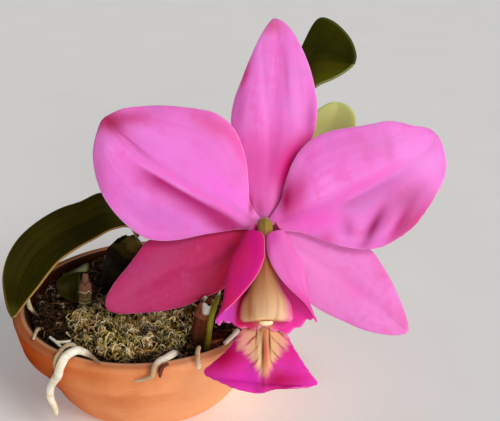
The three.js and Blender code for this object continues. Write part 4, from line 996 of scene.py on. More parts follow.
def rounded(profile, radius=0.7, steps=4, run=1.6):
    """The profile with its corners rounded and its long runs divided."""
    points = [np.array(profile[0], float)]
    for before, corner, after in zip(profile, profile[1:], profile[2:]):
        before, corner, after = (np.array(p, float) for p in (before, corner, after))
        back, ahead = before - corner, after - corner
        r = min(radius, 0.4 * np.linalg.norm(back), 0.4 * np.linalg.norm(ahead))
        a, b = corner + unit(back) * r, corner + unit(ahead) * r
        for k in range(steps + 1):
            t = k / steps
            points.append((1 - t) ** 2 * a + 2 * t * (1 - t) * corner + t * t * b)
    points.append(np.array(profile[-1], float))
    dense = [points[0]]
    for a, b in zip(points, points[1:]):
        parts = max(1, int(np.linalg.norm(b - a) / run))
        dense += [a + (b - a) * (k + 1) / parts for k in range(parts)]
    return np.array(dense)


def pot_form(sectors=168):
    """The pan, with faint throwing rings on its outside."""
    profile = rounded(POT_PROFILE)[1:-1]
    r, a = np.meshgrid(profile[:, 0], around(sectors), indexing="ij")
    z = np.broadcast_to(profile[:, 1:2], r.shape)
    outside = (r > 32) & (z > 0.5)
    rings = 0.05 * np.sin(z * 3.1) + 0.04 * np.sin(z * 7.3 + 1) + 0.06 * np.sin(3 * a + 0.1 * z)
    r = r + np.where(outside, rings - 0.08, 0)
    return Form().add(polar(r, a, z), tube_faces(len(profile), sectors))


def drain_cutter(sides=32):
    form = Form()
    for k in range(DRAINS):
        turn = 2 * math.pi * k / DRAINS + math.pi / 2
        middle = (DRAIN_CIRCLE * math.cos(turn), DRAIN_CIRCLE * math.sin(turn))
        ends = [polar(DRAIN_RADIUS, around(sides), z, middle) for z in (-2.0, 6.5)]
        form.add(ends, tube_faces(2, sides))
    return show("drain_cutter", form.mesh("drain_cutter"))


def cut_drains(piece):
    cutter = drain_cutter()
    cut = piece.modifiers.new("drains", "BOOLEAN")
    cut.object = cutter
    cut.operation = "DIFFERENCE"
    cut.solver = "EXACT"
    bpy.context.view_layer.update()
    mesh = bpy.data.meshes.new_from_object(piece.evaluated_get(bpy.context.evaluated_depsgraph_get()))
    piece.modifiers.clear()
    piece.data = mesh
    bpy.data.objects.remove(cutter)


def terracotta():
    s = Shader("terracotta_clay", roughness=0.9, specular=0.02)
    place = s.place()
    x, _, z = s.split(place)
    grain = s.noise(place, 1.8, 4.0, 0.65)
    rings = s.noise(s.join(s.times(z, 1.6)), 1.0, 2.0)
    s.colour = s.mix(s.range(s.noise(place, 0.07, 3.0, 0.6), 0.3, 0.7), (220, 130, 78), (238, 152, 100))
    s.coat(s.times(s.range(rings, 0.4, 0.7), 0.3), (208, 114, 62))
    s.coat(s.times(s.range(grain, 0.55, 0.8), 0.35), (244, 176, 132))
    # painted shade: the left side, away from the light, is darker and deeper orange
    s.coat(s.range(x, -14.0, -38.0), (170, 60, 0))
    # painted light: the right side, towards the light, is paler
    s.coat(s.range(x, 0.0, 26.0, 0.0, 0.7), (255, 184, 134))
    # painted light: the lower body, which faces down, is lightened except on the left
    s.coat(s.times(s.range(z, 20.0, 8.0, 0.0, 0.4), s.range(x, -30.0, 0.0)), (234, 172, 124))
    under_rim = s.times(s.range(z, 26.5, 30.5), s.range(z, 33.4, 31.8))
    s.coat(s.times(under_rim, s.range(x, 4.0, -24.0, 0.1, 0.5)), (206, 92, 30))
    # A tan colour on the rim's top at the left.
    tan_rim_top = s.times(s.range(z, 32.6, 33.7), s.range(x, -18.0, -30.0))
    s.coat(s.times(tan_rim_top, 0.7), (192, 118, 76))
    radius = s.length(s.stretched(place, 1, 1, 0))
    # painted highlight: a thin light line along the rim's outer top edge
    edge = s.times(s.range(radius, 45.4, 44.6), s.range(z, 33.6, 33.8))
    s.coat(s.times(edge, 0.5), (240, 190, 150))
    # painted shade: the rim's inner wall above the filling is nearly black
    inner = s.times(s.times(s.range(radius, 44.5, 43.7), s.range(z, 34.4, 33.6)), s.range(z, 23.0, 25.0))
    inner = s.math("MAXIMUM", inner, s.times(s.range(radius, 44.1, 43.6), s.range(z, 33.0, 33.4)))
    s.coat(s.times(inner, 0.94), (32, 15, 9))
    return s.finish(s.blend(grain, 0.7, rings, 0.5), 0.2, 0.5)


cut_drains(pot_form().piece("pot_clay", "terracotta", terracotta(), "pot"))

# ------------------------------------------------------------------ filling: tree-fern fibre and moss

FILLING_SECTORS = 150
THREAD_FIELD = 43
THREAD_JITTER = 0.18
THREAD_TAPER = 0.45
THREAD_WALL_GAP = 0.9
rng = np.random.default_rng(41)


def fibre_height(x, y):
    return 31 + 0.5 * np.sin(0.12 * x + 1.1) * np.cos(0.11 * y - 0.6)


def moss_reach(angle):
    mx, my = MOSS_MIDDLE
    own = (21.8 + 1.2 * np.cos(angle) + 1.6 * np.cos(2 * angle) + 1.1 * np.sin(3 * angle + 0.7)
           + 0.7 * np.sin(7 * angle))
    wall = MOUTH_RADIUS - 1.7
    b = mx * np.cos(angle) + my * np.sin(angle)
    return np.minimum(own, -b + np.sqrt(b * b - (mx * mx + my * my - wall * wall)))


def moss_share(x, y):
    dx, dy = x - MOSS_MIDDLE[0], y - MOSS_MIDDLE[1]
    return np.hypot(dx, dy) / moss_reach(np.arctan2(dy, dx))


def moss_height(x, y, share):
    lumps = (0.45 * np.sin(0.9 * x + 0.3 * y) + 0.4 * np.cos(0.8 * y - 0.5 * x + 1)
             + 0.3 * np.sin(1.7 * x + 1.3 * y))
    body = 1 - np.minimum(share, 1) ** 5
    return fibre_height(x, y) + MOSS_LIFT + MOSS_EDGE + MOSS_CROWN * body + lumps * body


def fibre_body():
    radii = np.concatenate([[0.4], np.linspace(1.2, MOUTH_RADIUS - 1.0, 48)])
    angle = around(FILLING_SECTORS)
    flat = polar(*np.meshgrid(radii, angle, indexing="ij"), 0)
    flat[..., 2] = fibre_height(flat[..., 0], flat[..., 1])
    bumps = 1.1 * roughness_at(flat, 3.2, 5.0) + 0.7 * roughness_at(flat, 1.1, 9.0)
    floor_radius, floor_height = POT_INSIDE[-1]
    wall = [*POT_INSIDE[:-1], (floor_radius, floor_height + 0.4)]
    rings = [flat + bumps[..., None] * UP - 0.5 * UP]
    rings += [polar(radius - 0.5, angle, height)[None] for radius, height in wall]
    points = np.concatenate(rings)
    tone = np.full(points.shape[:2], 0.12)
    return Form().add(points, tube_faces(len(points), FILLING_SECTORS, flip=True), tone=tone)


def moss_body():
    shares = np.concatenate([[0.01], np.linspace(0.03, 1, 40)])
    s, a = np.meshgrid(shares, around(FILLING_SECTORS), indexing="ij")
    flat = polar(s * moss_reach(a), a, 0, MOSS_MIDDLE)
    flat[..., 2] = moss_height(flat[..., 0], flat[..., 1], s)
    bumps = 0.9 * roughness_at(flat, 2.2, 2.0) + 0.7 * roughness_at(flat, 0.9, 7.0)
    top = flat + (bumps * (1 - 0.6 * s ** 3) - 0.8)[..., None] * UP
    under = flat[::-1].copy()
    under[..., 2] = fibre_height(under[..., 0], under[..., 1]) - 0.9
    points = np.concatenate([top, under])
    # painted shade: the bed under the threads is near black, the shade between clumps
    tone = np.full(points.shape[:2], 0.05)
    return Form().add(points, tube_faces(len(points), FILLING_SECTORS, flip=True), tone=tone)


def strew(form, height, count, inside, length, radius, rise, curl, stations, dip, sides, tones):
    """Curled threads that start in a filling's surface, rise a little over it and sink in again.

    length, radius and rise are (low, high); tones are (low, gain, power, spread), by how high one rises,
    so that threads lower down are darker, as painted shade.
    """
    found = []
    while sum(len(f) for f in found) < count:
        xy = rng.uniform(-THREAD_FIELD, THREAD_FIELD, (count * 2, 2))
        found.append(xy[inside(xy[:, 0], xy[:, 1])])
    start = np.vstack(found)[:count]
    size = rng.uniform(*length, count)
    heading = rng.uniform(0, 2 * math.pi, count)
    bend = rng.uniform(-curl, curl, count)
    s = np.linspace(0, 1, stations)
    angle = heading[:, None] + bend[:, None] * s[None, :]
    step = size[:, None] / (stations - 1)

    def course(first, turn):
        moved = np.cumsum(turn(angle[:, :-1]) * step, 1)
        return first[:, None] + np.concatenate([np.zeros((count, 1)), moved], 1)

    x, y = course(start[:, 0], np.cos), course(start[:, 1], np.sin)
    share = rng.uniform(0, 1, count)
    bow = np.sin(math.pi * (0.08 + 0.84 * s))[None, :]
    jitter = rng.normal(0, THREAD_JITTER, (count, stations))
    z = height(x, y) + mix(*rise, share)[:, None] * bow - dip * (1 - bow) + jitter
    taper = 1 - THREAD_TAPER * np.abs(2 * s - 1) ** 3
    thick = rng.uniform(*radius, count)[:, None] * taper[None, :]
    keep = (np.hypot(x, y).max(1) < MOUTH_RADIUS - THREAD_WALL_GAP) & inside(x[:, -1], y[:, -1])
    low, gain, power, spread_out = tones
    # painted shade: threads that rise less are darker
    tone = low + gain * share[keep] ** power
    if spread_out:
        tone = tone + rng.normal(0, spread_out, len(tone))
    add_threads(form, np.stack([x, y, z], -1)[keep], thick[keep], np.clip(tone, 0, 1), sides)


def moss_top(x, y):
    return moss_height(x, y, moss_share(x, y)) - 0.3


def bare(x, y):
    """True where the fibre shows beside the moss."""
    return (np.hypot(x, y) < 41.4) & (moss_share(x, y) > 0.94)


def clumped(x, y):
    """True where the moss grows thick; elsewhere its dark bed shows, near black as painted shade."""
    flat = np.stack([x, y, np.zeros_like(x)], -1)
    return (moss_share(x, y) < 0.98) & (roughness_at(flat, 2.6, 17.0) > 0.0)


def mossy(x, y):
    return moss_share(x, y) < 1.05


def front_moss(x, y):
    return (moss_share(x, y) < 1.03) & (y < -33)


# Threads: count, where, length, radius, rise, curl, stations, dip, sides and tones.
FIBRE_THREADS = [
    (230, bare, (4, 11), (0.3, 0.7), (0.1, 1.3), 0.8, 6, 0.6, 6, (0.2, 0.5, 1, 0)),
    (3200, bare, (3, 9), (0.09, 0.24), (0.0, 1.8), 2.8, 7, 0.6, 3, (0, 1, 2, 0.12)),
    (620, bare, (0.8, 2.2), (0.3, 0.75), (0.2, 1.3), 0.6, 4, 0.3, 6, (0.2, 1, 2, 0.15)),
]
MOSS_THREADS = [
    (2100, clumped, (2, 5), (0.16, 0.42), (-0.2, 2.0), 2.4, 6, 0.4, 4, (0.1, 0.8, 1.6, 0.16)),
    (2800, mossy, (1.5, 4.5), (0.08, 0.2), (-0.4, 2.1), 3.6, 6, 0.4, 3, (0.1, 0.85, 1.7, 0.14)),
    (90, front_moss, (4, 8), (0.3, 0.55), (0.0, 1.0), 0.7, 6, 0.3, 5, (0.42, 0.3, 1, 0.08)),
]
FIBRE_MARKS = [
    ((196, 126, 80), (27.4, -29.2), (4.4, 1.7), 12, 0.9),
    ((118, 36, 16), (27.4, -24.6), (4, 2.6), 0, 0.85),
    ((150, 122, 92), (-4, -41.2), (9, 1.1), 0, 0.8),
]


def fibre_material():
    s = Shader("fern_fibre_fuzz", roughness=0.9, specular=0.2)
    place = s.place()
    grain = s.noise(place, 0.9, 4.0, 0.7)
    s.colour = s.ramp(s.value("tone"), [
        (0.0, (28, 15, 4)), (0.3, (56, 33, 11)), (0.7, (84, 53, 22)), (0.9, (110, 80, 46)),
        (1.0, (186, 150, 116))])
    s.coat(s.range(grain, 0.35, 0.7, 0.6, 0.0), (14, 7, 2))
    s.coat(s.range(s.noise(place, 0.62, 2.0, 0.6), 0.57, 0.66, 0.0, 0.6), (134, 98, 74))
    s.marks(place, FIBRE_MARKS)
    return s.finish(grain, 0.3, 0.6)


def moss_material():
    s = Shader("moss_fuzz", roughness=0.9, specular=0.15)
    place, tone = s.place(), s.value("tone")
    x, y, _ = s.split(place)
    grain = s.noise(place, 1.6, 3.0, 0.7)
    green = s.ramp(tone, [
        (0.0, (14, 9, 2)), (0.2, (56, 42, 10)), (0.45, (160, 134, 46)), (0.7, (240, 208, 104)),
        (1.0, (255, 246, 200))])
    straw = s.ramp(tone, [
        (0.0, (16, 9, 3)), (0.2, (66, 40, 14)), (0.45, (182, 132, 62)), (0.7, (252, 212, 136)),
        (1.0, (255, 246, 210))])
    s.colour = s.mix(s.range(s.noise(place, 0.09, 2.0), 0.4, 0.6), green, straw)
    s.coat(s.range(grain, 0.3, 0.7, 0.3, 0.0), (40, 30, 12))
    # painted shade: dark patches for the gaps between clumps; the pale patches at the other end of the same
    # noise are cream moss, partly painted highlight
    gaps = s.noise(place, 0.3, 2.0, 0.6)
    s.coat(s.range(gaps, 0.52, 0.62, 0.0, 0.8), (34, 24, 10))
    s.coat(s.range(gaps, 0.46, 0.34, 0.0, 0.35), (255, 240, 190))
    # painted shade: darker at the back left, where the leaf and the bulbs hang over it
    back = s.times(s.range(y, -15.0, -8.0), s.range(x, 6.0, -8.0))
    s.coat(s.times(back, 0.65), (60, 40, 20))
    return s.finish(grain, 0.25, 0.5)


fibre, moss = fibre_body(), moss_body()
for row in FIBRE_THREADS:
    strew(fibre, fibre_height, *row)
for row in MOSS_THREADS:
    strew(moss, moss_top, *row)
fibre.piece("fern_fibre_mat", "fibre", fibre_material(), "fern_fibre")
moss.piece("moss_mat", "moss", moss_material(), "moss_cover")

# ------------------------------------------------------------------ roots

# Each root: its path, and its radii as (place, radius).
ROOTS = {
    "root_main": ([(-9.3, -44.8, 34.8), (-10.7, -43.9, 35.1), (-12.7, -42.4, 35.7), (-15.2, -40.8, 36.2),
        (-17.4, -40, 36.4), (-19, -40.8, 36.4), (-20.3, -42.6, 36.3), (-21.1, -44.3, 35.9),
        (-21.9, -45.2, 34.4), (-22.7, -44.5, 32.2), (-23.7, -43.5, 29.4), (-25.4, -42, 26.4),
        (-27.1, -40.3, 23.4), (-28.3, -38.8, 19.3), (-28.5, -37.6, 15.6), (-28, -35.8, 10.9),
        (-28.2, -34.5, 7)], [(0, 0.3), (0.08, 0.6), (0.14, 1.05), (0.2, 1.45), (0.6, 1.4), (0.85, 1.1),
        (0.97, 0.8), (1, 0.35)]),
    "root_back": ([(-19.2, -33, 32.8), (-20.3, -34.1, 34.6), (-21.4, -34.9, 35.2), (-22.4, -36.2, 35.4),
        (-23.2, -38.3, 35.4), (-23.6, -40.6, 35.4), (-23.9, -42.6, 35.2), (-24.3, -43.3, 34.1),
        (-24.6, -42.8, 32.6), (-24.9, -42.4, 31.6)], [(0, 0.5), (0.2, 0.7), (0.8, 0.65), (1, 0.4)]),
    "root_front": ([(14.4, -36, 32.4), (13.6, -38.2, 34.2), (12.7, -41.2, 35.7), (11.3, -43.2, 35.9),
        (9.6, -44.9, 36), (8.2, -47.2, 36), (7.7, -49.2, 35.3), (7.4, -49.6, 33.6), (6.6, -49.4, 32.7),
        (5.2, -49.2, 32), (3.4, -49.1, 31.4), (1.3, -49.1, 30.9)], [(0, 0.7), (0.15, 1.15), (0.45, 1.15),
        (0.6, 0.9), (0.85, 0.65), (1, 0.25)]),
    "root_front_stub": ([(11.8, -46, 35.3), (10.3, -47.5, 35.3), (9.8, -48.9, 34.7), (9.6, -48.9, 33.4),
        (9.5, -48.7, 32.2)], [(0, 0.55), (0.45, 0.8), (0.8, 0.65), (1, 0.3)]),
    "root_right": ([(20.9, -33.4, 32.4), (20.9, -36, 34.8), (20.8, -39, 35.7), (20.9, -42.6, 35.8),
        (21.2, -44.4, 35), (21.4, -44.5, 33.9), (21.4, -44.3, 32.7)], [(0, 0.7), (0.6, 0.75), (1, 0.6)]),
    "root_rim_right": ([(31.8, -22.4, 31), (32.8, -24.8, 33.8), (33.2, -27.4, 35.7), (31.5, -31, 35.8),
        (29.3, -34.8, 35.7)], [(0, 0.7), (0.5, 0.9), (1, 0.65)]),
    "root_tip_left": ([(-37.6, -9.8, 30.6), (-39, -10.8, 33.2), (-40.2, -10.7, 35.1), (-41, -9, 35.9),
        (-41.3, -7.8, 36.7)], [(0, 0.5), (0.4, 0.65), (0.7, 0.85), (1, 0.5)]),
    "root_bit_left": ([(-35, -18.4, 30.4), (-34.3, -22, 33.3), (-34, -26, 35.2), (-33.9, -29.6, 35.4),
        (-33.8, -31.5, 35.3)], [(0, 0.55), (0.6, 0.65), (1, 0.4)]),
}
TWIGS = [[(-29, -29.3, 34.6), (-27.4, -31, 34.6), (-25.9, -32.7, 34.5), (-24.2, -34.6, 34.3)],
         [(-25.9, -32.8, 35), (-24.4, -33, 35), (-22.9, -32.8, 35), (-21.4, -32.2, 35)]]
TWIG_RADII = [(0, 0.45), (0.9, 0.5), (1, 0.3)]
ROOT_PALE = (250, 244, 226)
ROOT_SHADE = (226, 208, 168)
MUD = (44, 28, 16)
# Skins: material, pale, shade, tip and where it starts, then the foot's colour and how far it goes.
ROOT_SKINS = {
    "root_twigs": ("white_root", ROOT_PALE, ROOT_SHADE, (232, 220, 190)),
    "root_main": ("main_root", ROOT_PALE, ROOT_SHADE, (232, 220, 190), 0.72, (132, 100, 66), 0.15),
    "root_back": ("thin_root", (226, 206, 170), (190, 160, 116), (176, 134, 84)),
    "root_front": ("front_root", (240, 236, 220), (206, 196, 168), (190, 142, 88), 0.4, MUD, 0.26),
    "root_front_stub": ("dead_root", (122, 58, 30), (92, 40, 20), (84, 36, 18)),
    "root_right": ("tan_root", (230, 198, 158), (196, 150, 108), ROOT_PALE, 0.72, MUD, 0.3),
    # painted light: this root's skin is whiter than the others' where the lip's shadow falls on it
    "root_rim_right": ("rim_root", (255, 252, 240), (246, 236, 210), ROOT_PALE, 0.72, MUD, 0.3),
    "root_tip_left": ("tip_root", ROOT_SHADE, (196, 172, 132), ROOT_PALE, 0.7, MUD, 0.62),
    "root_bit_left": ("bit_root", (206, 180, 142), (170, 140, 100), ROOT_SHADE, 0.7, MUD, 0.55),
}


def root_material(name, pale, shade, tip, tip_from=0.72, foot=None, foot_to=0.0):
    """Pale root skin; its outer end takes the colour `tip`, and its inner end, up to foot_to, `foot`."""
    s = Shader(name, roughness=0.75, specular=0.2)
    place = s.place()
    t, _, _ = s.split(s.vector("form"))
    cloud = s.noise(place, 0.35, 3.0, 0.6)
    grain = s.noise(place, 3.0, 3.0, 0.7)
    s.colour = s.mix(s.range(cloud, 0.4, 0.7), pale, shade)
    s.coat(s.times(s.range(grain, 0.5, 0.75), 0.3), (168, 140, 96))
    s.coat(s.range(t, tip_from, tip_from + 0.26, 0.0, 0.75), tip)
    if foot:
        s.coat(s.range(t, foot_to, 0.5 * foot_to, 0.0, 0.9), foot)
    s.soft(0.15, 0.8)
    return s.finish(s.blend(cloud, 0.6, grain, 0.4), 0.3, 0.6)


def lumpy(seed):
    def shape(t, angle):
        wave = np.sin(23 * t + seed) * np.cos(2 * angle + 7 * t) + 0.6 * np.sin(51 * t + 2 * seed + angle)
        return 1 + 0.05 * wave
    return shape


for k, (name, (path, radii)) in enumerate(ROOTS.items()):
    slot = "dead_root" if name == "root_front_stub" else "root"
    segments = 110 if name == "root_main" else 56
    root = add_stem(Form(), path, radii, sides=18, segments=segments, shape=lumpy(k))
    root.piece(name + "_skin", slot, root_material(*ROOT_SKINS[name]), name)
twigs = Form()
for k, path in enumerate(TWIGS):
    add_stem(twigs, path, TWIG_RADII, sides=10, segments=26, shape=lumpy(k + 9))
twigs.piece("root_twigs_skin", "root", root_material(*ROOT_SKINS["root_twigs"]), "root_twigs")

# ------------------------------------------------------------------ bulbs, stalks and sheaths

# Each bulb: its path, its radii as (place, radius), how many ribs it has and how high they stand.
BULBS = {
    "pseudobulb_left": dict(
        path=[(-15.2, 9.5, 29.5), (-14.2, 9.8, 36), (-11.8, 10, 43), (-7.8, 10, 48.5), (-4.4, 10.2, 51.8)],
        radii=[(0, 2.4), (0.15, 3.4), (0.4, 4.9), (0.65, 4.6), (0.9, 3.1), (1, 2.4)], ribs=7, rib=0.05),
    "pseudobulb_small": dict(
        path=[(-22.2, -5.6, 29.5), (-22, -5.2, 34), (-21.5, -4.6, 40), (-21.2, -4, 45)],
        radii=[(0, 1.1), (0.2, 1.35), (0.5, 1.35), (0.8, 1.25), (1, 1.0)], ribs=6, rib=0.03),
    "pseudobulb_right": dict(
        path=[(26, 13, 29.5), (29, 14.2, 38), (35, 16, 51), (41.5, 18.2, 62), (46.4, 19.8, 69)],
        radii=[(0, 2.6), (0.15, 4.2), (0.4, 6.4), (0.65, 6.0), (0.9, 3.8), (1, 2.8)], ribs=7, rib=0.05),
    "old_bulb": dict(
        path=[(19.9, -26.6, 29.5), (20.2, -26.8, 35), (21.2, -27, 40.5), (23, -27.3, 45),
            (24.6, -27.6, 48.6)],
        radii=[(0, 1.9), (0.25, 2.35), (0.5, 2.1), (0.72, 1.5), (0.9, 1.0), (1, 0.7)], ribs=5, rib=0.1),
}
RHIZOME = [(-24.5, -9.2, 26.6), (-22.2, -5.6, 26.7), (-19.2, 2.2, 26.7), (-15.2, 9.5, 26.7), (-2, 8, 26.6),
           (12, 10, 26.5), (26, 13, 26.4), (32, 13.5, 26.4)]
RHIZOME_RADII = [(0, 1.2), (0.06, 1.9), (0.92, 1.9), (1, 1.1)]
CUT_STEM = [(22.9, -32, 29), (23.3, -32, 32.5), (23.9, -31.9, 37), (24.8, -31.8, 43.4), (26.5, -31.6, 49.4),
            (28, -31.5, 53.4)]
CUT_STEM_RADII = [(0, 0.95), (0.5, 1.02), (0.86, 0.92), (0.93, 0.6), (0.95, 0.32), (1, 0.2)]


def behind(depth):
    """A point straight behind the flower's middle."""
    return tuple(FLOWER_PLACE - FLOWER_Z * depth)


STALK = dict(
    path=[(33, 3, 28), (33.4, 3.4, 35), (37, 4, 46), (41, 1.5, 57), behind(14), behind(7), behind(0.4)],
    radii=[(0, 1.7), (0.3, 1.5), (0.55, 1.5), (0.68, 2.1), (0.85, 2.3), (1, 2.6)], ribs=6, rib=0.04)


def ribbed(spec, wrinkle=0.02):
    def shape(t, angle):
        fine = wrinkle * np.sin(angle * 19 + 4 * np.sin(3 * t)) + 0.012 * np.sin(61 * t)
        return 1 + spec["rib"] * np.cos(spec["ribs"] * angle) + fine
    return shape


def bulb_material(name, skin, shade, line, paper, papery, crown=None):
    """Green skin under dry fibres; papery tells how much of it the fibres cover, crown colours its top."""
    s = Shader(name, roughness=0.6, specular=0.15)
    t, a, _ = s.split(s.vector("form"))
    cloud = s.noise(s.place(), 0.22)
    fibres = s.streaks(t, a, 2.0, 46.0, 4.0, 0.65)
    rings = s.streaks(t, a, 38.0, 1.5, 2.0)
    s.colour = s.mix(s.range(cloud, 0.35, 0.65), skin, shade)
    s.coat(s.times(s.range(fibres, 0.5, 0.7), 0.6), line)
    s.coat(s.times(s.range(s.blend(fibres, 0.5, cloud, 0.6), 0.45, 0.7), papery), paper)
    s.coat(s.times(s.range(rings, 0.58, 0.72), 0.3 * papery), paper)
    if crown:
        s.coat(s.range(t, 0.62, 0.9, 0.0, 0.85), crown)
    return s.finish(s.blend(fibres, 0.7, rings, 0.3), 0.35, 0.7)


# the left bulb's near-black skin is partly its own dark olive and partly painted shade under the leaf
dark_bulb = bulb_material(
    "dark_bulb", (22, 17, 5), (36, 28, 8), (10, 7, 3), (58, 36, 16), 0.4, crown=(112, 100, 34))
ringed_bulb = bulb_material("ringed_bulb", (104, 66, 50), (84, 60, 34), (40, 24, 14), (150, 104, 84), 0.7)
green_bulb = bulb_material("green_bulb", (92, 104, 40), (116, 124, 54), (60, 68, 26), (176, 160, 116), 0.35)
dry_bulb = bulb_material("dry_bulb_skin", (112, 48, 16), (70, 26, 12), (36, 12, 6), (140, 86, 54), 0.45)
for (name, spec), skin in zip(BULBS.items(), (dark_bulb, ringed_bulb, green_bulb, dry_bulb)):
    bulb = add_stem(Form(), spec["path"], spec["radii"], sides=56, segments=70, shape=ribbed(spec))
    bulb.piece(name + "_skin", "dry_bulb" if name == "old_bulb" else "bulb", skin, name)
rhizome = add_stem(Form(), RHIZOME, RHIZOME_RADII, sides=18, segments=90, shape=lumpy(4))
rhizome.piece("rhizome_skin", "bulb", ringed_bulb, "rhizome")


def stalk_material(name, skin, shade, tip, tip_from):
    s = Shader(name, roughness=0.55, specular=0.15)
    t, a, _ = s.split(s.vector("form"))
    streaks = s.streaks(t, a, 3.0, 14.0)
    specks = s.noise(s.place(), 2.2, 2.0)
    s.colour = s.mix(s.range(streaks, 0.35, 0.65), skin, shade)
    s.coat(s.times(s.range(specks, 0.62, 0.72), 0.4), (92, 70, 34))
    s.coat(s.range(t, tip_from, min(tip_from + 0.06, 1.0)), tip)
    s.soft(0.1, 0.8)
    return s.finish(streaks, 0.15, 0.5)


def knotted(t, angle):
    return 1 + 0.05 * np.sin(3 * angle) + 0.04 * np.sin(29 * t)


cut_skin = stalk_material("cut_stem_flesh", (140, 142, 32), (112, 92, 18), (255, 250, 236), 0.92)
cut = add_stem(Form(), CUT_STEM, CUT_STEM_RADII, sides=18, segments=60, shape=knotted)
cut.piece("cut_stem_skin", "stalk", cut_skin, "cut_stem")
stalk_skin = stalk_material("flower_stalk_flesh", (128, 140, 62), (150, 150, 82), (196, 150, 120), 0.93)
stalk = add_stem(Form(), STALK["path"], STALK["radii"], sides=40, segments=100, shape=ribbed(STALK, 0.008))
stalk.piece("flower_stalk_skin", "stalk", stalk_skin, "flower_stalk")


SHEATH_GAP = 0.62
SHEATH_THICKNESS = 0.34
SHEATH_EDGE = 0.16


def sheath_form(spec, t0, t1, loose, tear, jag, seed, rows=26, columns=96):
    """A papery sleeve with a torn, ragged top and fine upright pleats."""
    uu, aa = np.meshgrid(np.linspace(0, 1, rows + 1), around(columns), indexing="ij")
    ragged = 0.5 + 0.5 * np.sin(3 * aa + 1) * np.cos(aa)
    ragged = np.clip(ragged + jag * (0.14 * np.sin(17 * aa + seed) + 0.1 * np.sin(29 * aa + 2 * seed)), 0, 1)
    t = mix(t0, mix(t1, t1 - tear, ragged), uu)

    def on_path(places):
        return spline(spec["path"], places.ravel()).reshape(*places.shape, 3)

    tangent = unit(on_path(np.minimum(t + 0.01, 1)) - on_path(np.maximum(t - 0.01, 0)))
    across = unit(FLOWER_X - tangent * tangent[..., :1])
    over = np.cross(tangent, across)
    radius = along(spec["radii"], t) * (1 + spec["rib"]) + SHEATH_GAP + loose * uu ** 2
    radius = radius + 0.1 * np.sin(23 * aa + 3 * uu) + 0.07 * np.sin(41 * aa + seed)
    middle = on_path(t) + across * (radius * np.cos(aa))[..., None] + over * (radius * np.sin(aa))[..., None]
    own = np.stack([uu, aa / (2 * math.pi), radius], -1)
    return add_blade(Form(), middle, mix(SHEATH_THICKNESS, SHEATH_EDGE, uu ** 6), ring=True, form=own)


def paper_material(name, pale, shade, line, rim, rim_from, bands=(), rim_side=None):
    """Dry fibrous paper; rim colours it from this height, and bands are (height, half width, colour).

    rim_side: the two places along x, in millimetres, between which the rim's colour sets in.
    """
    s = Shader(name, roughness=0.85, specular=0.1)
    place = s.place()
    u, a, _ = s.split(s.vector("form"))
    fibres = s.streaks(u, a, 1.5, 52.0, 4.0, 0.7)
    cloud = s.noise(place, 0.3)
    s.colour = s.mix(s.range(cloud, 0.35, 0.65), pale, shade)
    s.coat(s.times(s.range(fibres, 0.48, 0.66), 0.75), line)
    rim_share = s.range(u, rim_from, min(rim_from + 0.15, 1.0), 0.0, 0.9)
    if rim_side:
        rim_share = s.times(rim_share, s.range(s.split(place)[0], *rim_side))
    s.coat(rim_share, rim)
    for height, half, tint in bands:
        off = s.gap(s.plus(u, s.times(cloud, 0.12)), height + 0.06)
        s.coat(s.range(off, half * 0.5, half, 0.9, 0.0), tint)
    return s.finish(fibres, 0.3, 0.8)


# Sheaths: the stem each wraps; its foot, top, looseness, tear and jags; and its paper.
SHEATHS = [
    # the left sheath's near-black paper is partly painted shade under the leaf
    ("sheath_left", BULBS["pseudobulb_left"], (0.62, 0.93, 0.5, 0.16, 0.6),
     ((40, 28, 10), (28, 18, 7), (14, 9, 4), (66, 54, 20), 0.5)),
    ("sheath_small", BULBS["pseudobulb_small"], (0.3, 0.85, 0.15, 0.16, 1.0),
     ((92, 84, 46), (112, 76, 52), (34, 22, 12), (126, 82, 64), 0.62,
      [(0.6, 0.034, (206, 182, 138)), (0.25, 0.02, (150, 140, 96)),
       (0.04, 0.08, (176, 160, 112))])),
    ("sheath_old", BULBS["old_bulb"], (0.62, 0.96, 0.6, 0.1, 0.35),
     ((156, 88, 60), (116, 54, 34), (70, 28, 16), (250, 242, 226), 0.3,
      (), (21.4, 22.8))),
    ("stalk_bract", STALK, (0.1, 0.26, 0.7, 0.05, 1.0),
     ((170, 160, 100), (140, 128, 76), (90, 74, 40), (206, 190, 140), 0.8)),
]
for k, (name, spec, sleeve, colours) in enumerate(SHEATHS):
    sheath = sheath_form(spec, *sleeve, 1.7 * k)
    sheath.piece(name + "_paper", "paper", paper_material(name + "_paper", *colours), name)

# ------------------------------------------------------------------ leaves

LEAF_THICKNESS = 1.5
LEAF_EDGE = 0.3

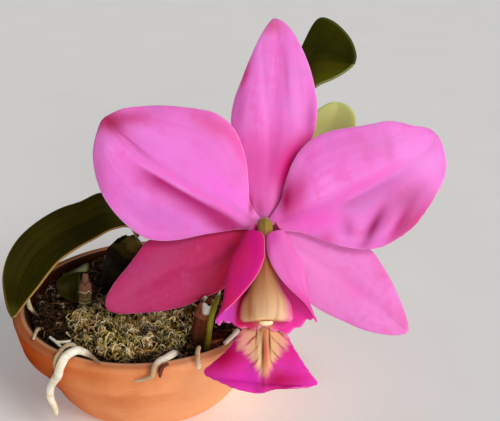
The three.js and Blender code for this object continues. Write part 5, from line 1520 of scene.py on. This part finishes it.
# Each leaf: its two margins from foot to tip, its outward direction, the depth of its fold and of its waves.
LEAVES = {
    "leaf_left": dict(
        left=[(-3.5, 11.8, 53.6), (-7.4, 15.4, 61.8), (-17, 18, 67.2), (-25.6, 17, 64.2), (-32.7, 15, 62.4),
            (-39.4, 11, 59.7), (-45.9, 6, 55.2), (-49.2, 0, 50.5), (-49.9, -6, 45.6), (-48.3, -12, 41.4),
            (-46, -17.2, 38), (-44.2, -19.8, 36.5)],
        right=[(-4.2, 9.2, 52.8), (-6.6, 8.9, 57.2), (-12.6, 7.4, 57), (-18.5, 4.4, 54.8), (-23.7, 2, 52.6),
            (-30.3, -2, 48.9), (-33.7, -4.5, 45.5), (-36.6, -8, 42.3), (-39.8, -12, 39.2),
            (-41.8, -15.5, 37.2), (-43.2, -19.2, 36.2)],
        out=(0.1, -0.8, 0.6), fold=3, wave=0.5),
    "leaf_small": dict(
        left=[(-22, -2.3, 45.2), (-26.1, 0, 43.6), (-30.7, 0, 41.6), (-32.9, 0, 38.7), (-32, -1, 35.8),
            (-29.4, -2.6, 34.1), (-25.6, -4.2, 33.3)],
        right=[(-20.6, -2.1, 45.5), (-21.2, 2, 46.3), (-23.6, 2, 44.2), (-24.6, 2, 41), (-24.9, 1.2, 37.4),
            (-25.2, -1, 34.8), (-25.4, -3.9, 33.4)],
        out=(-0.2, -0.8, 0.5), fold=1.2, wave=0),
    "leaf_upper_right": dict(
        left=[(44.4, 18.4, 71.5), (45.8, 20.6, 80), (48.8, 23, 94), (51.8, 25, 107), (56.2, 25.4, 120.7),
            (61.4, 24, 130.1), (65.9, 20, 129.8), (71.5, 16, 124.8), (73.4, 12, 119.6),
            (72.8, 10.4, 117.2)],
        right=[(46.6, 17, 71.1), (48.8, 16.8, 78), (51.6, 16.6, 87), (54.4, 16.4, 96), (57.2, 16, 102.5),
            (60.4, 15, 107.8), (66.2, 12.4, 111.4), (69.8, 11.2, 113.9), (72.2, 10, 116.4)],
        out=(0.2, -0.9, 0.2), fold=2.6, wave=0.3),
    "leaf_right": dict(
        left=[(46.3, 22.4, 69.4), (48.2, 24.8, 76), (51.8, 27.2, 83), (57, 29.4, 90), (62.3, 30.6, 95.2),
            (66.4, 31.4, 97.6), (69, 31.4, 98.2)],
        right=[(49, 20.6, 68.2), (54.4, 20.6, 72.6), (62, 21.4, 76.6), (70.5, 23.4, 81.5), (76, 25.8, 88.5),
            (76.4, 28, 93.8), (73.8, 30.4, 97.2), (70.6, 31.4, 98.1)],
        out=(0.1, -0.8, 0.5), fold=1.6, wave=0, veins=0),
}


def leaf_form(spec):
    uu, vv, sheet, width = spread(spec, rows=110, columns=60, fine=(0.006, 0.018, 0.035))
    side = np.abs(2 * vv - 1)
    valley = -spec["fold"] * (1 - side ** 1.3) * np.sin(math.pi * mix(0.12, 0.92, uu))
    lift = valley + spec["wave"] * side ** 3 * np.sin(9 * uu + 2 * vv)
    veins = 0.06 * np.sin(40 * vv) * (1 - side ** 4) - 0.25 * bell(vv, 0.5, 0.025)
    lift = lift + spec.get("veins", 1) * veins
    middle = sheet + lift[..., None] * unit(np.array(spec["out"]))
    rim = to_margin(uu, vv, width, middle_length(middle))
    thick = thinned(rim, LEAF_EDGE, LEAF_THICKNESS, 0.8)
    return add_blade(Form(), middle, thick, form=np.stack([uu, vv, rim], -1))


def leaf_material(name, skin, light, shade, rim_colour, low_colour, low_from, rim_width, streak,
                  patches=()):
    """Leathery skin with fine lengthwise veins, a paler strip at its lower side and a pale margin."""
    s = Shader(name, roughness=0.5, specular=0.1)
    s.set("Specular Tint", linear((236, 226, 150)))
    place, form = s.place(), s.vector("form")
    u, v, rim = s.split(form)
    cloud = s.noise(place, 0.08, 3.0, 0.6)
    streaks = s.streaks(u, v, 5.0, 34.0, 4.0, 0.6)
    specks = s.noise(place, 1.6, 3.0, 0.7)
    s.colour = s.mix(s.range(cloud, 0.35, 0.65), skin, light)
    s.coat(s.times(s.range(streaks, 0.45, 0.7), streak), shade)
    s.coat(s.times(s.range(specks, 0.6, 0.75), 0.5 * streak), light)
    s.coat(s.range(v, low_from, low_from + 0.12, 0.0, 0.8), low_colour)
    s.coat(s.range(s.gap(v, 0.5), 0.0, 0.03, streak, 0.0), shade)
    s.marks(form, patches)
    low_side = s.range(v, 0.3, 0.7, 0.15, 0.85)
    s.coat(s.times(s.range(rim, rim_width * 0.5, rim_width, 1.0, 0.0), low_side), rim_colour)
    return s.finish(s.blend(streaks, 0.6, specks, 0.4), 0.14, 0.5 * streak)


# Skins: material, skin, light, shade, rim, lower strip and where it starts, rim width, streaks and patches.
LEAF_SKINS = {
    # the near-black olive is partly the leaf's own dark green and partly painted shade
    "leaf_left": (
        "leaf_left_skin", (38, 36, 1), (46, 42, 2), (25, 24, 1), (186, 144, 78), (52, 46, 5), 0.9, 0.5, 0.25,
        [((96, 104, 30), (0.12, 0.5), (0.07, 0.4), 0, 0.7),
         ((96, 92, 30), (0.97, 0.5), (0.04, 0.5), 0, 0.5)]),
    # near-black skin, partly painted shade; its pale patch near the foot is a painted highlight where light
    # grazes the fold
    "leaf_small": (
        "leaf_small_skin", (34, 31, 4), (40, 36, 5), (22, 20, 2), (74, 66, 22), (40, 36, 4), 0.9, 0.45, 0.25,
        [((150, 158, 112), (0.06, 0.4), (0.11, 0.9), 0, 0.95)]),
    # the near-black olive is partly the leaf's own dark green and partly painted shade
    "leaf_upper_right": (
        "leaf_upper_skin", (46, 47, 2), (58, 58, 6), (34, 35, 1), (150, 158, 96), (76, 72, 10), 0.6, 0.8, 0.4,
        [((96, 112, 10), (0.55, 0.95), (0.3, 0.12), 0, 0.8)]),
    "leaf_right": (
        "leaf_young_skin", (204, 212, 126), (210, 218, 132), (194, 204, 112), (214, 222, 156),
        (204, 212, 128), 0.9, 0.3, 0.02),
}
for name, spec in LEAVES.items():
    slot = "young_leaf" if name == "leaf_right" else "leaf"
    leaf_form(spec).piece(name + "_skin", slot, leaf_material(*LEAF_SKINS[name]), name)

# ------------------------------------------------------------------ end

bpy.context.view_layer.update()
